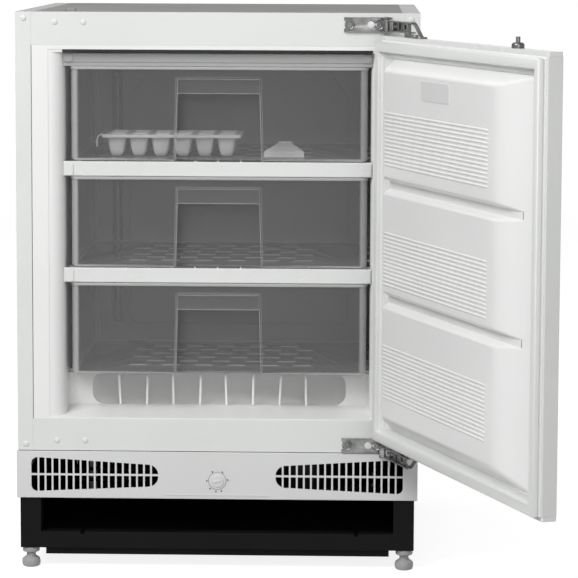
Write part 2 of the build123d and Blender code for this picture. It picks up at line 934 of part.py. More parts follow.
def vent_outline(way):
    """Corners of one vent, way -1 on the left and 1 on the right."""
    return [
        (way * vent_outer, vent_bottom + vent_outer_foot),
        (way * vent_inner, vent_bottom + vent_inner_foot),
        (way * vent_inner, vent_bottom + vent_inner_head),
        (way * vent_outer, vent_bottom + vent_outer_head),
    ]


with BuildPart() as vent_panel:
    with BuildSketch(facing(front - panel_thick)):
        with Locations((0, vent_bottom)):
            Rectangle(2 * (side + panel_thick), vent_panel_height, align=(Align.CENTER, Align.MIN))
    extrude(amount=-panel_thick)
    with BuildSketch(facing(front)):
        with Locations((0, vent_bottom + vent_panel_height / 2)):
            with GridLocations(2 * side + panel_thick, 0, 2, 1):
                Rectangle(panel_thick, vent_panel_height)
            with GridLocations(0, vent_panel_height - panel_thick, 1, 2):
                Rectangle(2 * (side - sheet - sheet_gap), panel_thick)
    extrude(amount=-panel_return)
    fillet(vent_panel.faces().sort_by(Axis.Y)[0].outer_wire().edges(), radius=panel_thick / 3)
    for way in (-1, 1):
        with BuildSketch(facing(front - panel_thick)) as vent:
            Polygon(*vent_outline(way), align=None)
            fillet(vent.vertices().sort_by(Axis.X)[:: way][:2], radius=vent_round_inner)
            fillet(vent.vertices().sort_by(Axis.X)[:: -way][:2], radius=vent_round_outer)
            with Locations((way * (vent_outer + vent_inner) / 2, vent_bottom + vent_bar_height)):
                Rectangle(vent_outer, vent_bar, mode=Mode.SUBTRACT)
                with GridLocations(vent_pitch, 0, vent_columns - 1, 1):
                    Rectangle(vent_rib, 2 * vent_panel_height, mode=Mode.SUBTRACT)
        extrude(amount=-panel_thick, mode=Mode.SUBTRACT)
    with BuildSketch(facing(front - panel_thick)):
        with Locations((knob_x, knob_z)):
            Circle(knob_radius + knob_gap)
    extrude(amount=-panel_thick, mode=Mode.SUBTRACT)
    with BuildSketch(facing(front)):
        with Locations((knob_x, knob_z)):
            with GridLocations(housing_width - housing_post, 0, 2, 1):
                Rectangle(housing_post, housing_post)
    extrude(amount=-housing_inset)
    with BuildSketch(facing(front - panel_thick)):
        with Locations((knob_x, vent_bottom + ridge_rise)):
            SlotOverall(ridge_length, ridge_width)
        with Locations((knob_x, knob_z)):
            with PolarLocations(tick_ring, tick_count, tick_start, tick_sweep, endpoint=True):
                Circle(tick_radius)
    extrude(amount=ridge_height)

with BuildPart() as thermostat_knob:
    with BuildSketch(facing(front - panel_thick - knob_proud)):
        with Locations((knob_x, knob_z)):
            Circle(knob_radius)
    extrude(amount=-(knob_proud + panel_thick))
    fillet(thermostat_knob.faces().sort_by(Axis.Y)[0].edges(), radius=knob_proud / 2)
    with BuildSketch(facing(front - panel_thick - knob_proud)):
        with Locations((knob_x, knob_z)):
            Rectangle(knob_slot_length, knob_slot_width)
        with Locations((knob_x, knob_z + knob_radius - 2 * tick_radius)):
            Circle(tick_radius)
    extrude(amount=-knob_slot_depth, mode=Mode.SUBTRACT)
    with BuildSketch(facing(front)):
        with Locations((knob_x, knob_z)):
            Circle(shaft_radius)
    extrude(amount=-(housing_inset + shaft_grip))

with BuildPart() as thermostat_housing:
    with BuildSketch(facing(housing_front)):
        with Locations((knob_x, knob_z)):
            Rectangle(housing_width, housing_height)
            Circle(shaft_radius + pivot_clear, mode=Mode.SUBTRACT)
    extrude(amount=-(shaft_grip + loose))
    with BuildSketch(facing(housing_front + shaft_grip + loose)):
        with Locations((knob_x, knob_z)):
            Rectangle(housing_width, housing_height)
    extrude(amount=-(housing_depth - shaft_grip))

# Compressor on its rail and grommets, and the condenser coil with its two uprights
compressor_x = side - compressor_side_gap
compressor_y = back - compressor_back_gap
coil_y = back - coil_back_gap
coil_left = coil_side_gap - side
coil_right = compressor_x - rail_length / 2 - coil_gap
rail_z = tray_sheet_z + sheet
grommet_z = rail_z + rail_thick
plate_z = grommet_z + grommet_height

with BuildPart() as compressor_rail:
    with BuildSketch(Plane.XY.offset(rail_z)):
        with Locations((compressor_x, compressor_y)):
            RectangleRounded(rail_length, rail_width, stud_radius)
    extrude(amount=rail_thick)
    with BuildSketch(Plane.XY.offset(grommet_z)):
        with Locations((compressor_x, compressor_y)):
            with GridLocations(stud_span_x, stud_span_y, 2, 2):
                Circle(stud_radius)
    extrude(amount=grommet_height + foot_plate_thick + stud_radius)

with BuildPart() as compressor_grommets:
    with BuildSketch(Plane.XY.offset(grommet_z)):
        with Locations((compressor_x, compressor_y)):
            with GridLocations(stud_span_x, stud_span_y, 2, 2):
                Circle(grommet_radius)
                Circle(stud_radius + loose, mode=Mode.SUBTRACT)
    extrude(amount=grommet_height)

with BuildPart() as compressor:
    with BuildSketch(Plane.XY.offset(plate_z)):
        with Locations((compressor_x, compressor_y)):
            RectangleRounded(rail_length, rail_width, grommet_radius)
            with GridLocations(stud_span_x, stud_span_y, 2, 2):
                Circle(stud_radius + loose, mode=Mode.SUBTRACT)
    extrude(amount=foot_plate_thick)
    with BuildSketch(Plane.XY.offset(plate_z)):
        with Locations((compressor_x, compressor_y)):
            Circle(shell_radius)
    extrude(amount=shell_height)
    fillet(compressor.faces().sort_by(Axis.Z)[-1].edges(), radius=shell_round)
    with BuildSketch(facing(compressor_y)):
        with Locations((compressor_x - shell_radius, plate_z + shell_height / 2)):
            Rectangle(terminal_width, terminal_width)
    extrude(amount=terminal_width / 2, both=True)

with BuildPart() as condenser_coil:
    with BuildLine(facing(coil_y)) as route:
        for i in range(coil_rows):
            z = rail_z + coil_rise + i * coil_pitch
            ends = (coil_left, coil_right) if i % 2 == 0 else (coil_right, coil_left)
            Line((ends[0], z), (ends[1], z))
            if i < coil_rows - 1:
                way = 1 if i % 2 == 0 else -1
                ThreePointArc(
                    (ends[1], z),
                    (ends[1] + way * coil_pitch / 2, z + coil_pitch / 2),
                    (ends[1], z + coil_pitch),
                )
    with BuildSketch(Plane(origin=route.line @ 0, z_dir=route.line % 0)):
        Circle(coil_tube / 2)
    sweep(path=route.wires()[0])

coil_top = rail_z + coil_rise + (coil_rows - 0.5) * coil_pitch

with BuildPart() as condenser_uprights:
    for x in (coil_left + coil_post_inset, coil_right - coil_post_inset):
        with BuildSketch(Plane.XY.offset(rail_z)):
            with Locations((x, coil_y + coil_tube / 2 + pivot_clear)):
                Rectangle(coil_post, sheet, align=(Align.CENTER, Align.MIN))
        extrude(amount=coil_top - rail_z)
        with BuildSketch(Plane.XY.offset(rail_z)):
            with Locations((x, coil_y + coil_tube / 2 + pivot_clear)):
                Rectangle(coil_post, coil_post, align=(Align.CENTER, Align.MIN))
        extrude(amount=sheet)

# Hinge geometry: the arm turns on pivot 1 at the cabinet, the door on pivot 2 at the arm
door_gap = gasket_thick + seal_gap
door_bottom = body_bottom + door_lift
door_top = cabinet_top - door_drop
door_middle = (door_bottom + door_top) / 2
closed_edge = Vector(side - edge_inset, front - door_gap)
pivot_1 = Vector(side - pivot_1_inset, front - pivot_1_out)
pivot_2_closed = closed_edge + Vector(-pivot_2_along, -pivot_2_out)
arm = pivot_2_closed - pivot_1
arm_length = arm.length
arm_closed = degrees(atan2(arm.Y, arm.X))
arm_open = arm_closed - arm_swing
pivot_2 = pivot_1 + Vector(arm_length, 0).rotate(Axis.Z, arm_open)
door_angle = radians(180 + door_swing)
along = Vector(cos(door_angle), sin(door_angle))
inward = Vector(sin(door_angle), -cos(door_angle))
door_edge = pivot_2 - along * pivot_2_along + inward * pivot_2_out


def on_door(h):
    """Plane on the door: x along it from the hinge edge, y up, h inwards from the pan's rim."""
    origin = door_edge + inward * h
    return Plane(origin=(origin.X, origin.Y, 0), x_dir=along, z_dir=inward)


def over_door(z):
    """Level plane at z: x along the door from the hinge edge, y outwards from the pan's rim."""
    return Plane(origin=(door_edge.X, door_edge.Y, z), x_dir=along, z_dir=(0, 0, 1))


door_end = Plane(origin=on_door(0).origin, x_dir=inward, z_dir=along)

# Door: steel pan, end caps, foam, formed inner liner, gasket and a bare label plate
pan_bottom = door_bottom + cap_height
pan_top = door_top - cap_height
ring_side = seal_inset + gasket_width
ring_bottom = door_bottom + seal_foot + gasket_width
ring_top = door_top - seal_head - gasket_width
plug_left = closed_edge.X - mouth_half + plug_clear
plug_right = door_width - ring_side - gasket_clear
plug_bottom = ring_bottom + gasket_clear
plug_top = ring_top - gasket_clear
rib_start = plug_left + rib_start_gap
rib_length = plug_right - free_slope - rib_end_gap - rib_start

with BuildPart() as door_outer_panel:
    with BuildSketch(over_door(pan_bottom)):
        Rectangle(door_width, pan_thick, align=(Align.MIN, Align.MIN))
        with Locations((sheet, 0)):
            Rectangle(
                door_width - 2 * sheet,
                pan_thick - sheet,
                align=(Align.MIN, Align.MIN),
                mode=Mode.SUBTRACT,
            )
        Rectangle(pan_return, sheet, align=(Align.MIN, Align.MIN))
        with Locations((door_width, 0)):
            Rectangle(pan_return, sheet, align=(Align.MAX, Align.MIN))
    extrude(amount=pan_top - pan_bottom)


def cap_form(z):
    """Plastic strip that closes one end of the pan."""
    with BuildPart() as cap:
        with BuildSketch(over_door(z)):
            Rectangle(door_width, pan_thick, align=(Align.MIN, Align.MIN))
        extrude(amount=cap_height)
        chamfer(cap.edges().filter_by(Axis.Z), length=cap_edge)
    return cap.part


with BuildPart() as door_top_cap:
    add(cap_form(pan_top))

with BuildPart() as door_bottom_cap:
    add(cap_form(door_bottom))


def plug_form(grow):
    """Raised middle of the door's liner, or the foam under it when it shrinks by the wall."""
    with BuildPart() as plug:
        with BuildSketch(on_door(0)):
            with Locations(((plug_left + plug_right) / 2, (plug_bottom + plug_top) / 2)):
                RectangleRounded(
                    plug_right - plug_left + 2 * grow,
                    plug_top - plug_bottom + 2 * grow,
                    plug_corner + grow,
                )
        with BuildSketch(on_door(plug_height + grow)):
            x0 = plug_left + hinge_slope - grow
            x1 = plug_right - free_slope + grow
            z0 = plug_bottom + foot_slope - grow
            z1 = plug_top - head_slope + grow
            with Locations(((x0 + x1) / 2, (z0 + z1) / 2)):
                RectangleRounded(x1 - x0, z1 - z0, plug_corner + grow)
        loft()
        with BuildSketch(on_door(-door_wall)):
            with Locations(((plug_left + plug_right) / 2, (plug_bottom + plug_top) / 2)):
                RectangleRounded(
                    plug_right - plug_left + 2 * grow,
                    plug_top - plug_bottom + 2 * grow,
                    plug_corner + grow,
                )
        extrude(amount=door_wall)
        low = plug_height + grow - groove_depth
        half_low = groove_floor - grow
        half_high = 2 * groove_half - groove_floor - grow
        for rise in groove_rise:
            with BuildSketch(door_end):
                Polygon(
                    (low + 2 * groove_depth, -(door_bottom + rise - half_high)),
                    (low, -(door_bottom + rise - half_low)),
                    (low, -(door_bottom + rise + half_low)),
                    (low + 2 * groove_depth, -(door_bottom + rise + half_high)),
                    align=None,
                )
            extrude(amount=door_width, mode=Mode.SUBTRACT)
    return plug.part


door_plug = plug_form(0)
door_plug_inside = plug_form(-door_wall)

with BuildPart() as door_inner_liner:
    with BuildSketch(on_door(0)):
        with Locations((door_width / 2, (pan_bottom + pan_top) / 2)):
            Rectangle(door_width - 2 * (pan_return + loose), pan_top - pan_bottom - loose)
    extrude(amount=-door_wall)
    add(door_plug)
    add(door_plug_inside, mode=Mode.SUBTRACT)
    for rise in rib_rise:
        with BuildSketch(on_door(plug_height)):
            with Locations((rib_start + rib_length / 2, door_bottom + rise)):
                with GridLocations(0, rib_pitch, 1, rib_count):
                    SlotOverall(rib_length, rib_width)
        extrude(amount=rib_height)

with BuildPart() as door_foam:
    with BuildSketch(over_door(pan_bottom)):
        with Locations((sheet, door_wall)):
            Rectangle(
                door_width - 2 * sheet,
                pan_thick - sheet - door_wall,
                align=(Align.MIN, Align.MIN),
            )
    extrude(amount=pan_top - pan_bottom)
    add(door_plug_inside)

with BuildPart() as door_gasket:
    with BuildSketch(on_door(0)):
        with Locations((door_width / 2, (ring_bottom + ring_top) / 2)):
            RectangleRounded(
                door_width - 2 * seal_inset,
                ring_top - ring_bottom + 2 * gasket_width,
                gasket_corner,
            )
            RectangleRounded(
                door_width - 2 * ring_side,
                ring_top - ring_bottom,
                plug_corner,
                mode=Mode.SUBTRACT,
            )
    extrude(amount=gasket_thick)
    top_face = door_gasket.faces().sort_by(Axis(door_edge, inward))[-1]
    fillet(top_face.outer_wire().edges(), radius=gasket_round)

with BuildPart() as door_label_plate:
    with BuildSketch(on_door(plug_height)):
        with Locations((label_start + label_length / 2, door_bottom + label_rise)):
            RectangleRounded(label_length, label_height, label_corner)
    extrude(amount=label_thick)

with BuildPart() as door_adjuster:
    with BuildSketch(over_door(door_top)):
        with Locations((adjuster_along, pan_thick / 2)):
            Circle(dome_radius)
    extrude(amount=dome_height)
    fillet(door_adjuster.faces().sort_by(Axis.Z)[-1].edges(), radius=dome_height / 2)
    with BuildSketch(over_door(door_top)):
        with Locations((adjuster_along, pan_thick / 2)):
            Circle(pin_radius)
    extrude(amount=adjuster_height)

# Upper hinge, from the cabinet outwards; the lower one is its mirror image
lug_low = door_top + hinge_gap
lug_high = lug_low + hinge_height - hinge_sheet
flange_low = lug_low + hinge_sheet + hinge_step
flange_high = lug_high - hinge_sheet - hinge_step
arm_low = flange_low + hinge_sheet + arm_clear
arm_high = flange_high - arm_clear
boss_low = lug_low + hinge_sheet + arm_clear
boss_high = lug_high - arm_clear
hinge_middle_z = lug_low + hinge_height / 2
other_end = Plane.XY.offset(door_middle)

with BuildPart() as hinge_plate_upper:
    with BuildSketch(facing(front)):
        with Locations((side - hinge_plate_right, lug_low)):
            Rectangle(hinge_plate_length, hinge_height, align=(Align.MAX, Align.MIN))
    extrude(amount=hinge_plate_thick)
    for z in (lug_low, lug_high):
        with BuildSketch(Plane.XY.offset(z)):
            with Locations((pivot_1.X, pivot_1.Y)):
                Circle(lug_radius)
                Rectangle(2 * lug_radius, pivot_1_out, align=(Align.CENTER, Align.MIN))
        extrude(amount=hinge_sheet)
    with BuildSketch(Plane.XY.offset(lug_low)):
        with Locations((pivot_1.X, pivot_1.Y)):
            Circle(pin_radius)
    extrude(amount=hinge_height)

with BuildPart() as hinge_arm_upper:
    with BuildSketch(Plane.XY.offset(arm_low)):
        SlotCenterPoint((pivot_1 + pivot_2) / 2, pivot_2, 2 * eye_radius)
    extrude(amount=arm_high - arm_low)
    with BuildSketch(Plane.XY.offset(boss_low)):
        with Locations((pivot_1.X, pivot_1.Y)):
            Circle(washer_radius)
    extrude(amount=boss_high - boss_low)
    with BuildSketch(Plane.XY.offset(boss_low)):
        with Locations((pivot_1.X, pivot_1.Y), (pivot_2.X, pivot_2.Y)):
            Circle(pin_radius + pivot_clear)
    extrude(amount=boss_high - boss_low, mode=Mode.SUBTRACT)

with BuildPart() as door_bracket_upper:
    for z in (flange_low, flange_high):
        with BuildSketch(over_door(z)):
            with Locations((pivot_2_along, pivot_2_out)):
                Circle(eye_radius)
                Rectangle(
                    bracket_length - pivot_2_along,
                    bracket_out - pivot_2_out,
                    align=(Align.MIN, Align.MIN),
                )
            with Locations((bracket_hole_along, (pivot_2_out + web_face) / 2)):
                Rectangle(bracket_hole, bracket_hole / 2, mode=Mode.SUBTRACT)
        extrude(amount=hinge_sheet)
    with BuildSketch(over_door(flange_low)):
        with Locations((pivot_2_along, pivot_2_out)):
            Circle(pin_radius)
    extrude(amount=flange_high + hinge_sheet - flange_low)
    with BuildSketch(Plane(origin=on_door(-web_face).origin, x_dir=along, z_dir=inward)):
        Polygon(
            (web_start, flange_low),
            (gusset_start, flange_low),
            (gusset_start, door_top),
            (gusset_end, door_top),
            (gusset_end, door_top + bracket_foot_thick),
            (bracket_length, flange_high + hinge_sheet),
            (web_start, flange_high + hinge_sheet),
            align=None,
        )
    extrude(amount=-hinge_sheet)
    with BuildSketch(over_door(door_top)):
        with Locations((bracket_length, foot_in)):
            Rectangle(bracket_foot_length, foot_out - foot_in, align=(Align.MIN, Align.MIN))
        with Locations((bracket_slot_along, (foot_in + web_face) / 2)):
            SlotOverall(bracket_slot_length, 2 * pin_radius, mode=Mode.SUBTRACT)
    extrude(amount=bracket_foot_thick)

with BuildPart() as hinge_plate_lower:
    mirror(hinge_plate_upper.part, about=other_end)

with BuildPart() as hinge_arm_lower:
    mirror(hinge_arm_upper.part, about=other_end)

with BuildPart() as door_bracket_lower:
    mirror(door_bracket_upper.part, about=other_end)

# Screws and caps
with BuildPart() as hinge_screws:
    with BuildSketch(facing(front - hinge_plate_thick)):
        with Locations(*[(side - inset, hinge_middle_z) for inset in hinge_screw_insets]):
            Circle(screw_radius)
            Rectangle(screw_radius, screw_slot, mode=Mode.SUBTRACT)
    extrude(amount=screw_head)
    mirror(about=other_end)

with BuildPart() as hinge_slot_caps:
    with BuildSketch(facing(front - hinge_plate_thick)):
        with Locations((side - slot_cap_inset, hinge_middle_z)):
            Circle(slot_cap_radius)
            Rectangle(slot_cap_radius, screw_slot, mode=Mode.SUBTRACT)
    extrude(amount=cap_proud)
    mirror(about=other_end)

with BuildPart() as bracket_screws:
    with BuildSketch(over_door(door_top + bracket_foot_thick)):
        with Locations(*[(a, (foot_in + web_face) / 2) for a in bracket_screw_along]):
            Circle(screw_radius)
            Rectangle(screw_radius, screw_slot, mode=Mode.SUBTRACT)
    extrude(amount=screw_head)
    mirror(about=other_end)

with BuildPart() as screw_caps:
    with BuildSketch(facing(front)):
        for z, way in ((cabinet_top, -1), (body_bottom, 1)):
            for inset, rise in screw_cap_places:
                with Locations((inset - side, z + way * rise)):
                    Circle(screw_cap_radius)
            with Locations((side - screw_cap_places[0][0], z + way * screw_cap_places[0][1])):
                Circle(screw_cap_radius)
    extrude(amount=cap_proud)

nodes = {
    "side_panel_left": side_panel_left,
    "side_panel_right": side_panel_right,
    "top_panel": top_panel,
    "back_panel": back_panel,
    "top_rail": top_rail,
    "bottom_rail": bottom_rail,
    "machine_deck": machine_deck,
    "inner_liner": inner_liner,
    "rear_plate": rear_plate,
    "insulation_foam": insulation_foam,
    "top_trim": top_trim,
    "upper_shelf_trim": upper_shelf_trim,
    "lower_shelf_trim": lower_shelf_trim,
    "upper_shelf_wires": upper_shelf_wires,
    "lower_shelf_wires": lower_shelf_wires,
    "bottom_shelf_wires": bottom_shelf_wires,
    "bottom_shelf_legs": bottom_shelf_legs,
    "drawer_top": drawer_top,
    "drawer_middle": drawer_middle,
    "drawer_bottom": drawer_bottom,
    "ice_tray": ice_tray,
    "ice_scraper": ice_scraper,
    "base_frame": base_frame,
    "base_tray": base_tray,
    "machine_cover": machine_cover,
    "power_inlet": power_inlet,
    "foot_front_left": foot_front_left,
    "foot_front_right": foot_front_right,
    "foot_rear_left": foot_rear_left,
    "foot_rear_right": foot_rear_right,
    "vent_panel": vent_panel,
    "thermostat_knob": thermostat_knob,
    "thermostat_housing": thermostat_housing,
    "compressor_rail": compressor_rail,
    "compressor_grommets": compressor_grommets,
    "compressor": compressor,
    "condenser_coil": condenser_coil,
    "condenser_uprights": condenser_uprights,
    "door_outer_panel": door_outer_panel,
    "door_top_cap": door_top_cap,
    "door_bottom_cap": door_bottom_cap,
    "door_inner_liner": door_inner_liner,
    "door_foam": door_foam,
    "door_gasket": door_gasket,
    "door_label_plate": door_label_plate,
    "door_adjuster": door_adjuster,
    "hinge_plate_upper": hinge_plate_upper,
    "hinge_plate_lower": hinge_plate_lower,
    "hinge_arm_upper": hinge_arm_upper,
    "hinge_arm_lower": hinge_arm_lower,
    "door_bracket_upper": door_bracket_upper,
    "door_bracket_lower": door_bracket_lower,
    "hinge_screws": hinge_screws,
    "hinge_slot_caps": hinge_slot_caps,
    "bracket_screws": bracket_screws,
    "screw_caps": screw_caps,
}

os.makedirs("parts", exist_ok=True)
for label, piece in nodes.items():
    piece.part.label = label
    export_step(piece.part, f"parts/{label}.step")
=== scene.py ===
# %% [markdown]
# # A built-under freezer with its door open
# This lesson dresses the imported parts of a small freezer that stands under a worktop. The parts
# already have their exact sizes. Here they get finishes, softer forms where the real piece is
# pressed or moulded, and the small pieces that the eye looks for.

# %% Load the frame
import json
import math
import bmesh
import bpy
from mathutils import Matrix, Vector


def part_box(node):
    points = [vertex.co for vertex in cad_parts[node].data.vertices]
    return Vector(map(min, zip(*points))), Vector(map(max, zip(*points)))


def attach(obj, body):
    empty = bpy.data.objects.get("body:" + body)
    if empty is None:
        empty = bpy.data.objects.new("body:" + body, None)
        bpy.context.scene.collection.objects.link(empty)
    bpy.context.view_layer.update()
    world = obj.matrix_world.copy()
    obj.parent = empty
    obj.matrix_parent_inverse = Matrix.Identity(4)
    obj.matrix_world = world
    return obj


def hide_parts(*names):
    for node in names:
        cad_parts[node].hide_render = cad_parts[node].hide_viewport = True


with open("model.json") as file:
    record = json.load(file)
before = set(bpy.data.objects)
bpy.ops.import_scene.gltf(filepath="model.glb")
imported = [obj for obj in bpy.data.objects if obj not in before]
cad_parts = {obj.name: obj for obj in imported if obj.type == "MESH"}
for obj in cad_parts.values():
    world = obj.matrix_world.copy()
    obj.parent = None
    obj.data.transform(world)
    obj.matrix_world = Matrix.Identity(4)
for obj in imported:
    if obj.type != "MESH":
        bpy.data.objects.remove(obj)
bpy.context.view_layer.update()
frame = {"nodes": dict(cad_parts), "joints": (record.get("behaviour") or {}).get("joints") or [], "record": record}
parts = frame["nodes"]
slot_of = {row["node"]: row["material_slot"] for row in frame["record"]["subparts"]}

# %% [markdown]
# ## Small helpers for finishes
# Every finish here is one Principled shader with a few texture nodes in front of it. A noise that
# reads object coordinates is in metres, so a scale of 400 gives a grain of 2.5 mm. The helpers only
# save typing: one adds a node and sets it, one makes a finish with its plain values. A Mix node has
# several sockets of one name, so its colours are reached by number.

# %% Node helpers
mix_share, mix_dark, mix_light, mix_out = 0, 6, 7, 2


def feed(tree, node, **settings):
    """Sets a node: an output given for an input is linked to it, any other value is set."""
    for label, value in settings.items():
        name = label.replace("_", " ")
        if isinstance(value, bpy.types.NodeSocket):
            tree.links.new(value, node.inputs[name])
        elif name in node.inputs:
            node.inputs[name].default_value = value
        else:
            setattr(node, label, value)
    return node


def put(tree, kind, **settings):
    """A new node with its settings."""
    return feed(tree, tree.nodes.new(kind), **settings)


def grain(tree, scale, detail=2.0, stretch=(1, 1, 1)):
    """Noise in object coordinates, scale in waves a metre, drawn out along an axis by stretch."""
    place = put(tree, "ShaderNodeTexCoord").outputs["Object"]
    drawn = put(tree, "ShaderNodeMapping", Vector=place, Scale=stretch).outputs["Vector"]
    return put(tree, "ShaderNodeTexNoise", Vector=drawn, Scale=scale, Detail=detail).outputs["Fac"]


def spread(tree, source, low, high, start=0.3, end=0.7):
    """Turns a value from start to end into one from low to high."""
    span = put(tree, "ShaderNodeMapRange", Value=source, From_Min=start, From_Max=end, To_Min=low, To_Max=high)
    return span.outputs["Result"]


def tinted(tree, source, dark, light):
    """A colour between dark and light, by source."""
    blend = put(tree, "ShaderNodeMix", data_type="RGBA")
    blend.inputs[mix_dark].default_value = (*dark, 1)
    blend.inputs[mix_light].default_value = (*light, 1)
    tree.links.new(source, blend.inputs[mix_share])
    return blend.outputs[mix_out]


def greater(tree, one, two):
    """The greater of two values."""
    most = put(tree, "ShaderNodeMath", operation="MAXIMUM")
    tree.links.new(one, most.inputs[0])
    tree.links.new(two, most.inputs[1])
    return most.outputs[0]


def own_value(tree, name):
    """A value that the mesh carries as an attribute."""
    return put(tree, "ShaderNodeAttribute", attribute_name=name).outputs["Fac"]


def finish_of(name, colour, roughness, metallic=0.0):
    """A finish with plain values, its tree and its shader."""
    made = bpy.data.materials.new(name)
    made.use_nodes = True
    tree = made.node_tree
    shader = feed(tree, tree.nodes["Principled BSDF"], Base_Color=(*colour, 1), Roughness=roughness,
                  Metallic=metallic)
    return made, tree, shader


def embossed(tree, shader, height, strength, distance, soft=None):
    """Bumps the shader by height, over the normal of a Bevel node where one is given."""
    bump = put(tree, "ShaderNodeBump", Strength=strength, Distance=distance, Height=height)
    if soft is not None:
        feed(tree, bump, Normal=soft.outputs["Normal"])
    feed(tree, shader, Normal=bump.outputs["Normal"])


def shaded(colour, by):
    """The colour, darker or lighter by a share."""
    return tuple(max(0.0, min(1.0, v * by)) for v in colour)


# %% [markdown]
# ## Painted steel and moulded plastic
# Enamel on sheet steel is not perfectly smooth: the spray leaves a faint orange peel, and light wear
# turns it slightly duller in places. Formed plastic has a finer grain. Both get soft edges from a
# Bevel node, because no pressed or moulded edge is as sharp as a drawing.

# %% Finishes for enamel and plastic


def skin(name, colour, roughness, edge=0.0008, peel=500.0, depth=0.000012, drift=0.02, shine=0.5, top_shade=0.0):
    """A painted or moulded surface: soft edges, fine grain, a slow drift of tone and gloss, and painted shade on
    faces that point up.
    """
    made, tree, shader = finish_of(name, colour, roughness)
    slow = spread(tree, grain(tree, 5.0, 3.0), 0, 1)
    tone = tinted(tree, slow, shaded(colour, 1 - drift), shaded(colour, 1 + drift))
    if top_shade > 0:
        # Painted shade: faces that point up are made darker by the given share, as if less light reached them.
        face = put(tree, "ShaderNodeNewGeometry")
        way = put(tree, "ShaderNodeSeparateXYZ", Vector=face.outputs["True Normal"])
        film = put(tree, "ShaderNodeMix", data_type="RGBA", blend_type="MULTIPLY")
        tree.links.new(spread(tree, way.outputs["Z"], 0, 1, 0.7, 0.95), film.inputs[mix_share])
        tree.links.new(tone, film.inputs[mix_dark])
        film.inputs[mix_light].default_value = (1 - top_shade, 1 - top_shade, 1 - top_shade, 1)
        tone = film.outputs[mix_out]
    gloss = spread(tree, grain(tree, 7.0, 1.0), roughness - 0.02, roughness + 0.03)
    feed(tree, shader, Specular_IOR_Level=shine, Base_Color=tone, Roughness=gloss)
    soft = put(tree, "ShaderNodeBevel", samples=4, Radius=edge) if edge > 0 else None
    embossed(tree, shader, grain(tree, peel, 2.0), 0.5, depth, soft)
    return made


finishes = {
    # The cabinet's enamel carries painted shade on its up-facing faces, 56 per cent darker.
    "cabinet_white": skin("cabinet_enamel", (0.72, 0.735, 0.715), 0.34, 0.0009, 420, top_shade=0.56),
    "door_white": skin("door_enamel", (0.70, 0.71, 0.695), 0.34, 0.0009, 420),
    "top_grey": skin("top_coating", (0.27, 0.27, 0.265), 0.6, 0.0006, 900, 0.00002, 0.08),
    "liner_white": skin("liner_plastic", (0.82, 0.825, 0.815), 0.30, 0.0, 260),
    "trim_white": skin("trim_plastic", (0.72, 0.73, 0.72), 0.28, 0.0007, 700),
    "trim_grey": skin("top_trim_plastic", (0.36, 0.365, 0.36), 0.36, 0.0007, 700),
    "wire_white": skin("wire_coating", (0.93, 0.935, 0.93), 0.25, 0.0004, 900),
    "tray_white": skin("tray_plastic", (0.93, 0.935, 0.93), 0.33, 0.0012, 600),
    "vent_white": skin("vent_plastic", (0.67, 0.675, 0.67), 0.36, 0.0008, 800),
    "foot_clear": skin("foot_plastic", (0.37, 0.38, 0.375), 0.42, 0.0012, 500),
    "gasket_white": skin("gasket_vinyl", (0.74, 0.75, 0.735), 0.42, 0.0008, 350),
    "base_black": skin("base_paint", (0.0035, 0.003, 0.0033), 0.7, 0.0012, 700, 0.00003, 0.25, 0.15),
    "black_plastic": skin("gland_plastic", (0.02, 0.02, 0.02), 0.5),
    "compressor_black": skin("compressor_paint", (0.012, 0.012, 0.013), 0.33, 0.003, 350, 0.0001),
    "copper_black": skin("condenser_paint", (0.015, 0.015, 0.015), 0.4),
    "rubber_black": skin("grommet_rubber", (0.02, 0.02, 0.02), 0.75),
    # The foam's dark tone is painted shade: it shows only in gaps, so its tone is kept dark like their shade.
    "foam": skin("rigid_foam", (0.26, 0.235, 0.18), 0.9, 0.001, 300, 0.0004, 0.1),
}
print("plain finishes", len(finishes))

# %% [markdown]
# ## Steel finishes
# Galvanised sheet shows spangles, flat crystals of zinc a few millimetres across, each a little
# brighter or duller than its neighbour. A Voronoi texture gives exactly such cells. The hinges are
# plated: bright, with a fine brushed direction and a duller film where they have been handled.

# %% Finishes for zinc and plated steel


def zinc_sheet():
    """Galvanised sheet with spangles."""
    made, tree, shader = finish_of("zinc_sheet", (0.5, 0.51, 0.52), 0.42, 0.9)
    place = put(tree, "ShaderNodeTexCoord").outputs["Object"]
    cells = put(tree, "ShaderNodeTexVoronoi", Vector=place, Scale=90.0)
    apart = put(tree, "ShaderNodeSeparateColor", Color=cells.outputs["Color"])
    tone = tinted(tree, apart.outputs["Red"], (0.40, 0.41, 0.42), (0.58, 0.59, 0.60))
    feed(tree, shader, Base_Color=tone, Roughness=spread(tree, apart.outputs["Green"], 0.3, 0.55, 0, 1))
    return made


def plated_steel():
    """Bright plated steel, brushed and slightly filmed."""
    made, tree, shader = finish_of("plated_steel", (0.36, 0.36, 0.355), 0.3, 1.0)
    film = spread(tree, grain(tree, 60.0, 4.0), 0, 1)
    tone = tinted(tree, film, (0.15, 0.15, 0.149), (0.33, 0.33, 0.327))
    brushed = grain(tree, 1400.0, 2.0, (0.06, 0.06, 1))
    feed(tree, shader, Base_Color=tone, Roughness=spread(tree, brushed, 0.22, 0.42))
    soft = put(tree, "ShaderNodeBevel", samples=4, Radius=0.0007)
    embossed(tree, shader, brushed, 0.35, 0.00003, soft)
    return made


finishes["galvanised"] = zinc_sheet()
finishes["hinge_steel"] = plated_steel()
